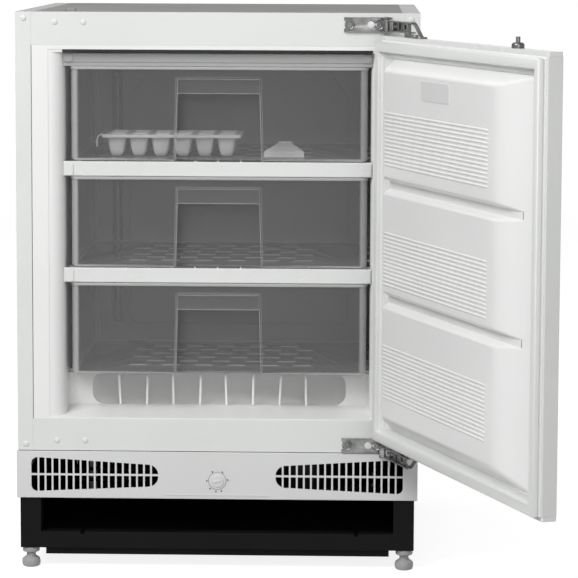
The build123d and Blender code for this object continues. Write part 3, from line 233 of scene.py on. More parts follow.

# %% [markdown]
# ## Clear smoky drawers
# A clear drawer is mostly seen by its edges: light that enters the sheet leaves where it turns, so
# rims and corners look pale and the flats look dark. Here that is a painted highlight: the finish
# measures how far a Bevel node turns the normal, which is large only beside an edge, and makes the
# plastic paler and denser there, and faces seen at a grazing angle get the same painted highlight.
# The drawers' own attributes `pale` and `frost` add to it: `pale` with more painted highlight,
# `frost` with a denser floor.

# %% Finish for the drawers


def smoky_plastic():
    """Thin clear plastic with painted highlights on its edges."""
    made, tree, shader = finish_of("smoky_plastic", (0.12, 0.12, 0.122), 0.12)
    soft = put(tree, "ShaderNodeBevel", samples=8, Radius=0.0016)
    flat = put(tree, "ShaderNodeNewGeometry")
    turn = put(tree, "ShaderNodeVectorMath", operation="DOT_PRODUCT")
    tree.links.new(soft.outputs["Normal"], turn.inputs[0])
    tree.links.new(flat.outputs["True Normal"], turn.inputs[1])
    # Painted highlight: paler beside an edge, where the Bevel normal turns away from the true normal.
    edge = spread(tree, turn.outputs["Value"], 1, 0, 0.80, 0.98)
    # Painted highlight at grazing angles, by the Layer Weight's facing, so it follows the view.
    weight = put(tree, "ShaderNodeLayerWeight", Blend=0.5)
    rim = spread(tree, weight.outputs["Facing"], 0, 0.8, 0.90, 1.0)
    pale = greater(tree, greater(tree, edge, rim), own_value(tree, "pale"))
    tone = tinted(tree, pale, (0.25, 0.25, 0.252), (0.88, 0.88, 0.88))
    frosted = spread(tree, own_value(tree, "frost"), 0, 0.86, 0, 1)
    cover = greater(tree, spread(tree, pale, 0.22, 0.84, 0, 1), frosted)
    feed(tree, shader, Base_Color=tone, Alpha=cover)
    embossed(tree, shader, grain(tree, 60.0, 2.0), 0.3, 0.00005, soft)
    return made


finishes["clear_smoke"] = smoky_plastic()

# %% [markdown]
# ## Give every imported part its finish
# A part whose shape is already right keeps its mesh and only takes the finish that its slot names.

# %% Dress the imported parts
for name, part in parts.items():
    part.data.materials.clear()
    part.data.materials.append(finishes[slot_of[name]])
print("dressed", len(parts), "parts with", len(set(slot_of.values())), "finishes")

# %% [markdown]
# ## Frames to build in
# A piece is easiest to draw flat and then place. Three frames do for the whole freezer: the
# cabinet's front, seen straight on; the door's inner face, which stands open by 110.2 degrees; and
# the door's top edge, seen from above. Each is a matrix that turns flat points into the room's.

# %% Frames and the helpers that make a piece
door_open = 110.2
swing = math.radians(180 + door_open)
along = Vector((math.cos(swing), math.sin(swing), 0))
inward = Vector((math.sin(swing), -math.cos(swing), 0))
up = Vector((0, 0, 1))
pivots = {row["name"]: Vector(row["pos_m"]) for row in frame["joints"] if "pos_m" in row}
cabinet_pivot = pivots["hinge_arm_swing"]
door_pivot = pivots["door_swing"]
hinge_edge = Vector((door_pivot.x, door_pivot.y, 0)) - along * 0.005 + inward * 0.0062


def placing(x_way, y_way, z_way, origin):
    """Matrix that carries flat points into a frame."""
    turned = Matrix((x_way, y_way, z_way)).transposed().to_4x4()
    return Matrix.Translation(origin) @ turned


def facing_front(origin):
    """Frame seen straight on from the front: x to the right, y up, z towards the viewer."""
    return placing(Vector((1, 0, 0)), up, Vector((0, -1, 0)), Vector(origin))


front_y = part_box("top_rail")[0].y
still = Matrix.Identity(4)
on_front = facing_front((0, front_y, 0))
on_door = placing(along, up, inward, hinge_edge)


def over_door(height):
    """Looking down on the door's edge at a height: x along the door, y out of its front."""
    return placing(along, -inward, up, hinge_edge + up * height)


def in_scene(name, data):
    """A new object with its data, in the scene."""
    made = bpy.data.objects.new(name, data)
    bpy.context.scene.collection.objects.link(made)
    return made


def object_from(name, shape):
    """An object from a bmesh shape, to work with."""
    bmesh.ops.recalc_face_normals(shape, faces=shape.faces)
    mesh = bpy.data.meshes.new(name)
    shape.to_mesh(mesh)
    shape.free()
    return in_scene(name, mesh)


def joined_shape(shapes):
    """Several shapes as one."""
    whole = bmesh.new()
    for shape in shapes:
        step = bpy.data.meshes.new("step")
        shape.to_mesh(step)
        shape.free()
        whole.from_mesh(step)
        bpy.data.meshes.remove(step)
    return whole


def gathered(name, shapes, place, body, slot, smooth=35):
    """One mesh from several bmesh shapes, placed, finished and set to move with its body."""
    for shape in shapes:
        bmesh.ops.recalc_face_normals(shape, faces=shape.faces)
    joined = joined_shape(shapes)
    whole = bpy.data.meshes.new(name)
    joined.to_mesh(whole)
    joined.free()
    whole.transform(place)
    return shown(name, whole, body, slot, smooth)


def shown(name, mesh, body, slot, smooth=35):
    """The mesh as a piece: smooth where it turns gently, with its finish, on its body."""
    made = in_scene(name, mesh)
    mesh.materials.clear()
    mesh.materials.append(finishes[slot])
    mesh.shade_smooth()
    mesh.set_sharp_from_angle(angle=math.radians(smooth))
    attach(made, body)
    return made


def banded(shape, rings, around=True):
    """Faces between each ring of vertices and the next, all round or with both ends left open."""
    count = len(rings[0])
    for one, two in zip(rings, rings[1:]):
        for i in range(count if around else count - 1):
            after = (i + 1) % count
            shape.faces.new((one[i], one[after], two[after], two[i]))


def backed(shape, way):
    """Closes an open sheet with a copy of itself, moved by way and joined to it along the rim."""
    copied = bmesh.ops.duplicate(shape, geom=shape.faces[:])["geom"]
    behind = [item for item in copied if isinstance(item, bmesh.types.BMVert)]
    bmesh.ops.translate(shape, verts=behind, vec=way)
    bmesh.ops.bridge_loops(shape, edges=[edge for edge in shape.edges if edge.is_boundary])


print("door pivot", tuple(round(v, 4) for v in door_pivot), "front", round(front_y, 4))

# %% [markdown]
# ## The door's formed liner
# The door's inner sheet is drawn over a mould while warm, so every edge on it is round. Such a
# sheet is a height over a flat plane, which makes it easy: at each point the height is the least of
# the ramps on the four sides, the flat top and the two cross grooves. A soft minimum, which eases
# from one ramp to the next, gives the mould's rounded edges.

# %% Door liner
door_low, door_high = 0.2110, 0.7969
plug_ends = (0.0570, 0.5687)
plug_heights = (0.2337, 0.7716)
plug_rise, hinge_side_run, lock_side_run, top_run = 0.020, 0.008, 0.0837, 0.015
groove_centres, groove_floor, groove_half, groove_slope = (0.4265, 0.5915), 0.008, 0.005, 24 / 11
liner_thick = 0.0015


def softly_least(values, ease):
    """Least of the values, eased over where two are close."""
    least = values[0]
    for value in values[1:]:
        gap = max(ease - abs(least - value), 0.0) / ease
        least = min(least, value) - gap * gap * ease / 4
    return least


def liner_height(a, z):
    """How far the liner stands off the door's plane at a along it and z up."""
    ramps = [
        (a - plug_ends[0]) / hinge_side_run * plug_rise,
        (plug_ends[1] - a) / lock_side_run * plug_rise,
        z - plug_heights[0],
        (plug_heights[1] - z) / top_run * plug_rise,
        plug_rise,
    ]
    for centre in groove_centres:
        ramps.append(groove_floor + max(abs(z - centre) - groove_half, 0.0) * groove_slope)
    return -softly_least([-softly_least(ramps, 0.005), 0.0], 0.003)


def steps_between(stops):
    """Positions that run through the stops, each given with the spacing up to it."""
    made = [stops[0][0]]
    for (start, _), (end, spacing) in zip(stops, stops[1:]):
        count = max(1, round((end - start) / spacing))
        made += [start + (end - start) * (i + 1) / count for i in range(count)]
    return made


def door_liner():
    """The formed sheet, closed behind by its own thickness."""
    across = steps_between([(0.0062, 0), (0.045, 0.010), (0.072, 0.001), (0.462, 0.012), (0.500, 0.002),
                            (0.555, 0.006), (0.580, 0.002), (0.5898, 0.005)])
    stops = [(door_low, 0), (0.226, 0.008), (0.262, 0.0012)]
    for centre in groove_centres:
        stops += [(centre - 0.024, 0.010), (centre + 0.024, 0.0012)]
    stops += [(0.746, 0.010), (0.778, 0.0012), (door_high, 0.008)]
    upward = steps_between(stops)
    shape = bmesh.new()
    rows = [[shape.verts.new((a, z, liner_height(a, z))) for a in across] for z in upward]
    banded(shape, rows, around=False)
    backed(shape, (0, 0, -liner_thick))
    return gathered("door_liner_formed", [shape], on_door, "door", "liner_white", 60)


liner = door_liner()
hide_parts("door_inner_liner")
print("door liner faces", len(liner.data.polygons))

# %% [markdown]
# ## Ripples on the door liner
# Three fields of fine raised ripples stiffen the sheet and hide small dents. They repeat at a fixed
# pitch, which is what Geometry Nodes are for: one ripple is modelled, and a tree copies it along a
# line. The tree's inputs are the count and the pitch, and it ends in real geometry, because an
# export drops instances.

# %% Ripple fields


def modifier_socket(tree, name):
    """Identifier of a tree's input, which is what a modifier is set by."""
    return next(item.identifier for item in tree.interface.items_tree
                if item.name == name and item.in_out == "INPUT")


def evaluated(thing):
    """The object's mesh after its modifiers."""
    bpy.context.view_layer.update()
    return bpy.data.meshes.new_from_object(thing.evaluated_get(bpy.context.evaluated_depsgraph_get()))


def grown(name, source, tree, settings, body, slot, smooth=35, place=still):
    """Runs a Geometry Nodes tree on an object and keeps the result as a plain piece."""
    modifier = source.modifiers.new("grow", "NODES")
    modifier.node_group = tree
    for label, value in settings.items():
        modifier[modifier_socket(tree, label)] = value
    mesh = evaluated(source)
    source.modifiers.remove(modifier)
    bpy.data.objects.remove(source)
    mesh.transform(place)
    mesh.name = name
    return shown(name, mesh, body, slot, smooth)


def new_tree(name, inputs):
    """A tree with a geometry input and output and named inputs for sizes."""
    tree = bpy.data.node_groups.new(name, "GeometryNodeTree")
    tree.interface.new_socket("Geometry", in_out="INPUT", socket_type="NodeSocketGeometry")
    for label, kind in inputs:
        tree.interface.new_socket(label, in_out="INPUT", socket_type=kind)
    tree.interface.new_socket("Geometry", in_out="OUTPUT", socket_type="NodeSocketGeometry")
    start = put(tree, "NodeGroupInput")
    end = put(tree, "NodeGroupOutput")
    return tree, start, end


def close_tree(tree, end, geometry, finish):
    """Realises the instances, sets the finish and ends the tree."""
    real = put(tree, "GeometryNodeRealizeInstances", Geometry=geometry)
    paint = put(tree, "GeometryNodeSetMaterial", Geometry=real.outputs["Geometry"], Material=finish)
    feed(tree, end, Geometry=paint.outputs["Geometry"])


def repeat_tree(name, axis, finish):
    """Copies the object's mesh along an axis, Count times at Pitch."""
    tree, start, end = new_tree(name, [("Count", "NodeSocketInt"), ("Pitch", "NodeSocketFloat")])
    offset = put(tree, "ShaderNodeCombineXYZ", **{axis: start.outputs["Pitch"]})
    line = put(tree, "GeometryNodeMeshLine", mode="OFFSET", Count=start.outputs["Count"],
               Offset=offset.outputs["Vector"])
    copies = put(tree, "GeometryNodeInstanceOnPoints", Points=line.outputs["Mesh"],
                 Instance=start.outputs["Geometry"])
    close_tree(tree, end, copies.outputs["Instances"], finish)
    return tree


def ripple(start, end, width, height, sides=8):
    """One raised ripple from start to end, its cross-section half an ellipse, its ends tapered."""
    shape = bmesh.new()
    rings = []
    stations = [(0, 0.0), (0.0012, 0.6), (0.003, 0.92), (0.006, 1.0)]
    stations = [(start + d, s) for d, s in stations] + [(end - d, s) for d, s in reversed(stations)]
    for a, swell in stations:
        ring = []
        for step in range(sides + 1):
            turn = math.pi * step / sides
            ring.append(shape.verts.new((a, width / 2 * math.cos(turn) * max(swell, 0.05),
                                         height * math.sin(turn) * swell - 0.0002)))
        rings.append(ring)
    for one, two in zip(rings, rings[1:]):
        for i in range(sides):
            shape.faces.new((one[i], two[i], two[i + 1], one[i + 1]))
        shape.faces.new((one[0], one[sides], two[sides], two[0]))
    shape.faces.new(rings[0])
    shape.faces.new(list(reversed(rings[-1])))
    return object_from("ripple", shape)


ripple_pitch, ripple_count = 0.0057, 14
field_tree = repeat_tree("ripple_field", "Y", finishes["liner_white"])
for number, centre in enumerate((0.3230, 0.4865, 0.6585)):
    low = centre - ripple_pitch * (ripple_count - 1) / 2
    field = grown(f"door_ripples_{number + 1}", ripple(0.067, 0.452, 0.0034, 0.0012), field_tree,
                  {"Count": ripple_count, "Pitch": ripple_pitch}, "door", "liner_white", 80,
                  on_door @ Matrix.Translation((0, low, plug_rise)))
    print(field.name, "faces", len(field.data.polygons))

# %% [markdown]
# ## Door gasket
# The gasket is a soft vinyl profile with a magnet strip inside, cut at 45 degrees and welded at
# the corners. Its cross-section is drawn once and run round a rectangle, and at each corner the
# section is spread by the mitre, so the four sides stay equally wide.

# %% Gasket
gasket_section = [(0, 0), (0, 1.8), (1.6, 3.0), (1.6, 4.0), (0.4, 5.0), (0.2, 10.4), (1.1, 11.6), (2.6, 12.0),
                  (12.6, 12.0), (14.0, 11.5), (14.7, 10.2), (14.4, 6.6), (15.6, 5.0), (18.8, 4.4), (21.6, 3.0),
                  (23.0, 1.6), (23.0, 0)]


def door_gasket():
    """The profile round the door, mitred at the corners."""
    left, right, low, high = 0.0040, 0.5920, 0.2104, 0.7949
    shape = bmesh.new()
    turns = [(left, low, 1, 1), (right, low, -1, 1), (right, high, -1, -1), (left, high, 1, -1)]
    rings = []
    for a, z, sign_a, sign_z in turns:
        rings.append([shape.verts.new((a + sign_a * u / 1000, z + sign_z * u / 1000, h / 1000))
                      for u, h in gasket_section])
    banded(shape, rings + rings[:1])
    return gathered("door_gasket_vinyl", [shape], on_door, "door", "gasket_white", 40)


gasket = door_gasket()
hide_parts("door_gasket")

# %% [markdown]
# ## Sheet metal with holes
# Hinges are stamped: a flat outline with windows, punched from one sheet and then folded. A flat
# curve does this well. It fills the outline, leaves out the inner loops, and its extrusion and
# small bevel give the sheet its thickness and its broken edge.

# %% Helpers for stamped sheet


def round_loop(x, y, radius, count=24, start=0, turn=360):
    """Points of a circle, or of a part of one."""
    last = count if turn == 360 else count - 1
    turns = [math.radians(start + turn * i / last) for i in range(count)]
    return [(x + radius * math.cos(t), y + radius * math.sin(t)) for t in turns]


def corners(x0, y0, x1, y1):
    """Points of a rectangle with sharp corners."""
    return [(x0, y0), (x1, y0), (x1, y1), (x0, y1)]


def box_loop(x0, y0, x1, y1, corner=0.001, steps=4):
    """Points of a rectangle with round corners."""
    made = []
    for cx, cy, start in ((x1 - corner, y1 - corner, 0), (x0 + corner, y1 - corner, 90),
                          (x0 + corner, y0 + corner, 180), (x1 - corner, y0 + corner, 270)):
        made += round_loop(cx, cy, corner, steps, start, 90)
    return made


def cut_sheet(loops, thick, edge=0.0002):
    """A sheet from height 0 to thick: the first loop is its outline, the others are holes."""
    flat = bpy.data.curves.new("sheet", "CURVE")
    flat.dimensions = "2D"
    flat.fill_mode = "BOTH"
    flat.extrude = thick / 2 - edge
    flat.bevel_depth = edge
    flat.bevel_resolution = 1
    flat.offset = -edge
    for loop in loops:
        line = flat.splines.new("POLY")
        line.points.add(len(loop) - 1)
        for point, (x, y) in zip(line.points, loop):
            point.co = (x, y, 0, 1)
        line.use_cyclic_u = True
    holder = bpy.data.objects.new("sheet", flat)
    shape = bmesh.new()
    shape.from_mesh(bpy.data.meshes.new_from_object(holder))
    bpy.data.objects.remove(holder)
    bmesh.ops.remove_doubles(shape, verts=shape.verts, dist=1e-6)
    bmesh.ops.translate(shape, verts=shape.verts, vec=(0, 0, thick / 2))
    return shape


def slab(loop, low, high):
    """A block with the loop as its outline, from low to high."""
    shape = bmesh.new()
    feet = [shape.verts.new((x, y, low)) for x, y in loop]
    tops = [shape.verts.new((x, y, high)) for x, y in loop]
    shape.faces.new(feet)
    shape.faces.new(tops)
    banded(shape, [feet, tops])
    return shape


def lathe(profile, count=24, x=0.0, y=0.0):
    """A profile of (radius, height) points turned about an upright axis at x, y."""
    shape = bmesh.new()
    rings = []
    for radius, height in profile:
        if radius < 1e-6:
            rings.append([shape.verts.new((x, y, height))])
        else:
            rings.append([shape.verts.new((px, py, height)) for px, py in round_loop(x, y, radius, count)])
    for one, two in zip(rings, rings[1:]):
        for i in range(count):
            after = (i + 1) % count
            corner = [one[i % len(one)], one[after % len(one)], two[after % len(two)], two[i % len(two)]]
            corner = list(dict.fromkeys(corner))
            if len(corner) > 2:
                shape.faces.new(corner)
    bmesh.ops.remove_doubles(shape, verts=shape.verts, dist=1e-7)
    return shape


def moved(shape, matrix):
    """The shape after a turn or a move."""
    bmesh.ops.transform(shape, matrix=matrix, verts=shape.verts)
    return shape


def lifted(shape, x=0.0, y=0.0, z=0.0):
    """The shape after a plain move."""
    return moved(shape, Matrix.Translation((x, y, z)))


sample = cut_sheet([box_loop(0, 0, 1, 1), round_loop(0.5, 0.5, 0.2)], 0.1)
print("a punched sheet with one hole has", len(sample.faces), "faces")
sample.free()

# %% [markdown]
# ## Hinge plates
# The plate on the cabinet is a shallow channel with a notch at its free end, two dimpled screw
# holes and a pressed rib. Two lugs at its other end hold the pin that the arm turns on. The upper
# and the lower one are mirror images, so one function makes both, with a sign for up or down.

# %% Hinge plates on the cabinet
door_low_end, door_high_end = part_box("door_bottom_cap")[0].z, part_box("door_top_cap")[1].z
door_middle = (door_low_end + door_high_end) / 2
hinge_rise = (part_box("hinge_plate_upper")[0].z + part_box("hinge_plate_upper")[1].z) / 2 - door_middle
plate_ends, plate_half = (0.1860, 0.2565), 0.011
hinge_screw_x = (0.1944, 0.2379)


def pin_between(low, high, radius=0.003):
    """A riveted pin with a flat head at both ends."""
    head = radius + 0.0008
    return lathe([(0, low - 0.0008), (head * 0.8, low - 0.0008), (head, low - 0.0004), (head, low), (radius, low),
                  (radius, high), (head, high), (head, high + 0.0004), (head * 0.8, high + 0.0008),
                  (0, high + 0.0008)], 20)


def hinge_plate(which, sign):
    """Stamped plate with folded edges, a rib, two lugs and the pin."""
    mid = door_middle + sign * hinge_rise
    left, right = plate_ends
    outline = corners(left, mid - plate_half, right, mid + plate_half)
    outline += [(left, mid + 0.0065), (left + 0.0045, mid + 0.002), (left + 0.0045, mid - 0.002),
                (left, mid - 0.0065)]
    shapes = [cut_sheet([outline] + [round_loop(x, mid, 0.0024, 12) for x in hinge_screw_x], 0.0015)]
    for low in (mid - plate_half, mid + plate_half - 0.0012):
        shapes.append(slab(box_loop(left + 0.001, low, right - 0.002, low + 0.0012, 0.0004), 0.001, 0.0040))
    for x in hinge_screw_x:
        shapes.append(lathe([(0.0076, 0.0012), (0.0076, 0.0016), (0.0070, 0.0024), (0.0062, 0.0024),
                             (0.0052, 0.0016), (0.0052, 0.0012), (0.0076, 0.0012)], 28, x, mid))
    shapes.append(slab(box_loop(0.2430, mid - 0.008, 0.2450, mid + 0.008, 0.0009), 0.001, 0.0030))
    for shape in shapes:
        moved(shape, on_front)
    lug = round_loop(cabinet_pivot.x, cabinet_pivot.y, 0.008, 14, 180, 180)
    lug += [(cabinet_pivot.x + 0.008, front_y), (cabinet_pivot.x - 0.008, front_y)]
    for low in (-plate_half, plate_half - 0.002):
        shapes.append(lifted(cut_sheet([lug], 0.002, 0.0003), z=mid + low))
    shapes.append(lifted(pin_between(-plate_half, plate_half), cabinet_pivot.x, cabinet_pivot.y, mid))
    made = gathered(f"hinge_plate_stamped_{which}", shapes, still, "cabinet", "hinge_steel", 40)
    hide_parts(f"hinge_plate_{which}")
    return made


def keyhole_plug(sign):
    """White plug that fills the plate's keyhole."""
    mid = door_middle + sign * hinge_rise
    loop = round_loop(0.2255, mid, 0.0052, 20, 25, 310) + [(0.2330, mid - 0.0022)]
    loop += round_loop(0.2330, mid, 0.0022, 6, 290, 140)
    return moved(cut_sheet([loop], 0.0010, 0.0003), on_front @ Matrix.Translation((0, 0, 0.0013)))


for which, sign in (("upper", 1), ("lower", -1)):
    print(hinge_plate(which, sign).name)
plugs = gathered("keyhole_plugs", [keyhole_plug(1), keyhole_plug(-1)], still, "cabinet", "trim_white")
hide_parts("hinge_slot_caps")

# %% [markdown]
# ## Door brackets
# The bracket is one stamped piece: an upright web with windows, two flanges that carry the second
# pin, a gusset with a three-cornered opening, and a foot that is screwed to the door's edge. A
# black block stands behind the windows: painted shade for the dark inside of the link.

# %% Door brackets
web_out = 0.0145


def door_bracket(which, sign):
    """Web, flanges, foot, rivet and pin of one bracket."""
    mid = door_middle + sign * hinge_rise
    edge = door_high_end if sign > 0 else door_low_end

    def upright(points):
        return [(a, mid + sign * z) for a, z in points]

    foot = sign * (edge - mid)
    web = upright([(0.014, -0.008), (0.060, -0.008), (0.060, foot), (0.132, foot), (0.132, foot + 0.0025),
                   (0.106, 0.006), (0.100, 0.008), (0.014, 0.008)])
    windows = [upright(corners(0.038, -0.0045, 0.046, 0.0055)), upright(corners(0.062, -0.003, 0.071, 0.0035)),
               upright([(0.083, foot + 0.0045), (0.116, foot + 0.0045), (0.098, 0.003), (0.090, 0.005),
                        (0.083, 0.004)])]
    frame_loops = [upright(corners(0.053, -0.007, 0.079, 0.007)), windows[1]]
    rivet = lathe([(0.0042, 0), (0.0042, 0.0006), (0.0030, 0.0015), (0.0012, 0.0019), (0, 0.0020)], 20)
    shapes = [lifted(cut_sheet([web] + windows, 0.002), z=-web_out),
              lifted(cut_sheet(frame_loops, 0.0012), z=-web_out + 0.0019),
              lifted(rivet, 0.024, mid, -web_out + 0.0019)]
    for shape in shapes:
        moved(shape, on_door)
    pin_a, pin_out = 0.005, 0.0062
    flange = [(0.104, pin_out), (0.100, web_out), (pin_a, web_out)]
    flange += round_loop(pin_a, pin_out, 0.006, 18, 90, 270)
    for low in (-0.008, 0.006):
        sheet = cut_sheet([flange, box_loop(0.030, 0.0085, 0.040, 0.0120)], 0.002)
        shapes.append(moved(sheet, over_door(mid + low)))
    shapes.append(moved(pin_between(-0.008, 0.008), over_door(mid) @ Matrix.Translation((pin_a, pin_out, 0))))
    sole = [box_loop(0.098, 0.002, 0.140, 0.018, 0.004), round_loop(0.114, 0.0085, 0.0027, 14)]
    low = edge if sign > 0 else edge - 0.0025
    shapes.append(moved(cut_sheet(sole, 0.0025, 0.0004), over_door(low)))
    made = gathered(f"door_bracket_stamped_{which}", shapes, still, "door", "hinge_steel", 40)
    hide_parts(f"door_bracket_{which}")
    # Painted shade: a black block behind the windows, where the inside of the link lies in shadow.
    window_shade = slab(upright(corners(0.034, -0.0055, 0.075, 0.0055)), -web_out - 0.0012, -web_out)
    return made, moved(window_shade, on_door)


window_shades = []
for which, sign in (("upper", 1), ("lower", -1)):
    bracket, window_shade = door_bracket(which, sign)
    window_shades.append(window_shade)
    print(bracket.name, "faces", len(bracket.data.polygons))
gathered("hinge_bushes", window_shades, still, "door", "black_plastic")

# %% [markdown]
# ## Screws and caps
# The same screw sits in several places, so one head is modelled and a Geometry Nodes tree puts it
# on a handful of points. A pan head is a low dome with a cross-shaped recess. The plastic caps are
# plain domes with a fine rim.

# %% Screws and caps


def scatter_tree(name, finish):
    """Puts the Head object on every point of the geometry."""
    tree, start, end = new_tree(name, [("Head", "NodeSocketObject")])
    head = put(tree, "GeometryNodeObjectInfo", Object=start.outputs["Head"])
    copies = put(tree, "GeometryNodeInstanceOnPoints", Points=start.outputs["Geometry"],
                 Instance=head.outputs["Geometry"])
    close_tree(tree, end, copies.outputs["Instances"], finish)
    return tree


def scattered(name, head, places, place, body, slot, replaced):
    """Copies of a head at the places, as one piece that takes the place of a packed one."""
    dots = bpy.data.meshes.new(name)
    dots.from_pydata(places, [], [])
    tree = scatter_tree(f"{name}_tree", finishes[slot])
    head_object = object_from("head", head)
    made = grown(name, in_scene(name, dots), tree, {"Head": head_object}, body, slot, 35, place)
    bpy.data.objects.remove(head_object)
    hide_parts(replaced)
    print(name, len(places), "faces", len(made.data.polygons))


def cross_head(radius=0.0042):
    """Low pan head with a cross recess."""
    arm, half = radius * 0.55, radius * 0.14
    cross = [(half, half), (arm, half), (arm, -half), (half, -half), (half, -arm), (-half, -arm), (-half, -half),
             (-arm, -half), (-arm, half), (-half, half), (-half, arm), (half, arm)]
    dish = lathe([(radius, 0), (radius, 0.0007), (radius * 0.95, 0.0011), (0, 0.0011)], 24)
    crown = lifted(cut_sheet([round_loop(0, 0, radius * 0.88, 24), cross], 0.0012, 0.0004), z=0.0010)
    return joined_shape([dish, crown])


cap_dome = [(0.0044, 0), (0.0044, 0.0004), (0.0040, 0.0008), (0.0030, 0.0013), (0.0015, 0.0016), (0, 0.0017)]
cabinet_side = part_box("side_panel_right")[1].x
cabinet_top, body_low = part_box("side_panel_right")[1].z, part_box("bottom_rail")[0].z
cap_insets = ((0.0125, 0.0093), (0.0585, 0.0150), (0.1007, 0.0150))
cap_places = []
for height, way in ((cabinet_top, -1), (body_low, 1)):
    cap_places += [(inset - cabinet_side, height + way * rise, 0) for inset, rise in cap_insets]
    cap_places.append((cabinet_side - cap_insets[0][0], height + way * cap_insets[0][1], 0))
scattered("screw_domes", lathe(cap_dome, 24), cap_places, on_front, "cabinet", "trim_white", "screw_caps")
plate_screws = [(x, door_middle + sign * hinge_rise, 0.0013) for sign in (1, -1) for x in hinge_screw_x]
scattered("plate_screws", cross_head(), plate_screws, on_front, "cabinet", "hinge_steel", "hinge_screws")
bracket_screws = [(a, 0.0085, 0.0025) for a in (0.114, 0.131)]
scattered("bracket_pan_heads", cross_head(), bracket_screws, over_door(door_high_end), "door", "hinge_steel",
          "bracket_screws")

# %% [markdown]
# ## The small things in front
# Four levelling feet, the dial's ticks, the dark strip of painted shade over the top trim and a clip
# on the top panel. Each is turned or stamped in its flat place. A foot is a turned profile: a broad
# pad, a narrow neck, a collar under the base and the thread that goes up into it.

# %% Levelling feet
pad_top = 0.0308
thread_core, thread_wide, thread_pitch, thread_count = 0.0050, 0.0060, 0.003, 14


def levelling_foot(name):
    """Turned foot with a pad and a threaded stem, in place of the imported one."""
    low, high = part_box(name)
    x, y = (low.x + high.x) / 2, (low.y + high.y) / 2
    pad = lathe([(0, 0.0003), (0.0105, 0.0003), (0.0128, 0.0015), (0.0139, 0.0050), (0.0139, 0.0095),
                 (0.0130, 0.0125), (0.0098, 0.0148), (0.0072, 0.0165), (0.0068, 0.0200), (0.0085, 0.0222),
                 (0.0122, 0.0232), (0.0129, 0.0245), (0.0129, 0.0300), (0.0120, 0.0308),
                 (thread_wide, pad_top)], 16, x, y)
    turned = [(thread_wide, pad_top)]
    for i in range(thread_count):
        height = pad_top + 0.0010 + i * thread_pitch
        turned += [(thread_core, height), (thread_wide, height + 0.0012), (thread_wide, height + 0.0018)]
    turned += [(thread_core, 0.0745), (0.0042, high.z - 0.0002), (0, high.z - 0.0002)]
    made = gathered(f"{name}_turned", [pad, lathe(turned, 16, x, y)], still, f"{name}_body", "foot_clear", 32)
    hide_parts(name)
    return made


for end in ("front", "rear"):
    for side in ("left", "right"):
        print(levelling_foot(f"foot_{end}_{side}").name)

# %% [markdown]
# ## Dial
# The thermostat's dial is a low disc with a slanted coin slot, and a ring of small marks round it
# on the panel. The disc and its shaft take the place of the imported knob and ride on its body.

# %% Dial and ticks
knob_low, knob_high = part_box("thermostat_knob")
knob_x, knob_z = (knob_low.x + knob_high.x) / 2, (knob_low.z + knob_high.z) / 2
panel_face = -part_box("vent_panel")[0].y + front_y
knob_radius = (knob_high.x - knob_low.x) / 2
disc = lathe([(0, 0), (knob_radius, 0), (knob_radius, panel_face - 0.0004),
              (knob_radius - 0.0006, panel_face + 0.0002), (0.0098, panel_face + 0.0002),
              (0.0090, panel_face + 0.0016), (0, panel_face + 0.0018)], 40)
slot_bar = slab(box_loop(-0.0066, -0.0011, 0.0066, 0.0011, 0.0009), panel_face + 0.0010, panel_face + 0.0027)
slant = Matrix.Rotation(math.radians(14), 4, "Z")
on_knob = on_front @ Matrix.Translation((knob_x, knob_z, 0))
shaft = lathe([(0, -0.0215), (0.004, -0.0215), (0.004, 0.0002), (0, 0.0002)], 20)
dial_shapes = [disc, moved(slot_bar, slant), shaft]
dial = gathered("dial_disc", dial_shapes, on_knob, "thermostat_knob_body", "vent_white", 30)
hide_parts("thermostat_knob")
mark_turns, mark_ring = (8, 62, 118, 178, 226, 262, 292), 0.0158
marks = []
for turn in mark_turns:
    way = math.radians(turn)
    marks.append(lathe([(0, 0), (0.0011, 0), (0.0011, 0.0002), (0.0008, 0.0004), (0, 0.0004)], 10,
                       mark_ring * math.cos(way), mark_ring * math.sin(way)))
gathered("dial_marks", [lifted(joined_shape(marks), z=panel_face)], on_knob, "cabinet", "compressor_black")
print("dial with", len(mark_turns), "marks")

# %% [markdown]
# ## Painted shade over the top trim, clip on the top and a corner line
# A dark, finely ribbed line shows between the top trim and the mouth, where the gap lies in shade.
# It is made as a black strip, painted shade for that gap, with ribs that a Geometry Nodes tree
# repeats along it. A small bent clip stands on the top panel's left edge. Behind the drawers, left
# of the raised plate, a thin bright tube stands in a dark channel: the tube is a painted highlight
# for a lit edge there, the channel painted shade for the corner beside it.

# %% Shade strip, clip and corner tube
trim_low, trim_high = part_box("top_trim")
# A black ribbed strip in the gap above the top trim: painted shade for that gap.
shade_strip_low, shade_strip_high = trim_high.z + 0.0020, trim_high.z + 0.0062
rib_pitch, rib_wide = 0.004, 0.0024
rib_loop = box_loop(0, 0, rib_wide, shade_strip_high - shade_strip_low - 0.0006, 0.0006, 3)
rib = object_from("rib", slab(rib_loop, -0.0006, 0.0))
rib_count = int((trim_high.x - trim_low.x - 0.006) / rib_pitch)
shade_strip_at = on_front @ Matrix.Translation((trim_low.x + 0.003, shade_strip_low + 0.0003, -0.0001))
grown("trim_seal_ribs", rib, repeat_tree("rib_row", "X", finishes["rubber_black"]),
      {"Count": rib_count, "Pitch": rib_pitch}, "cabinet", "rubber_black", 35, shade_strip_at)
strip = slab(box_loop(trim_low.x, shade_strip_low, trim_high.x, shade_strip_high, 0.001), -0.00098, -0.0005)
gathered("trim_seal", [strip], on_front, "cabinet", "rubber_black")
clip_x, clip_y, clip_z = -0.2270, -0.1900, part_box("top_panel")[1].z
clip = []
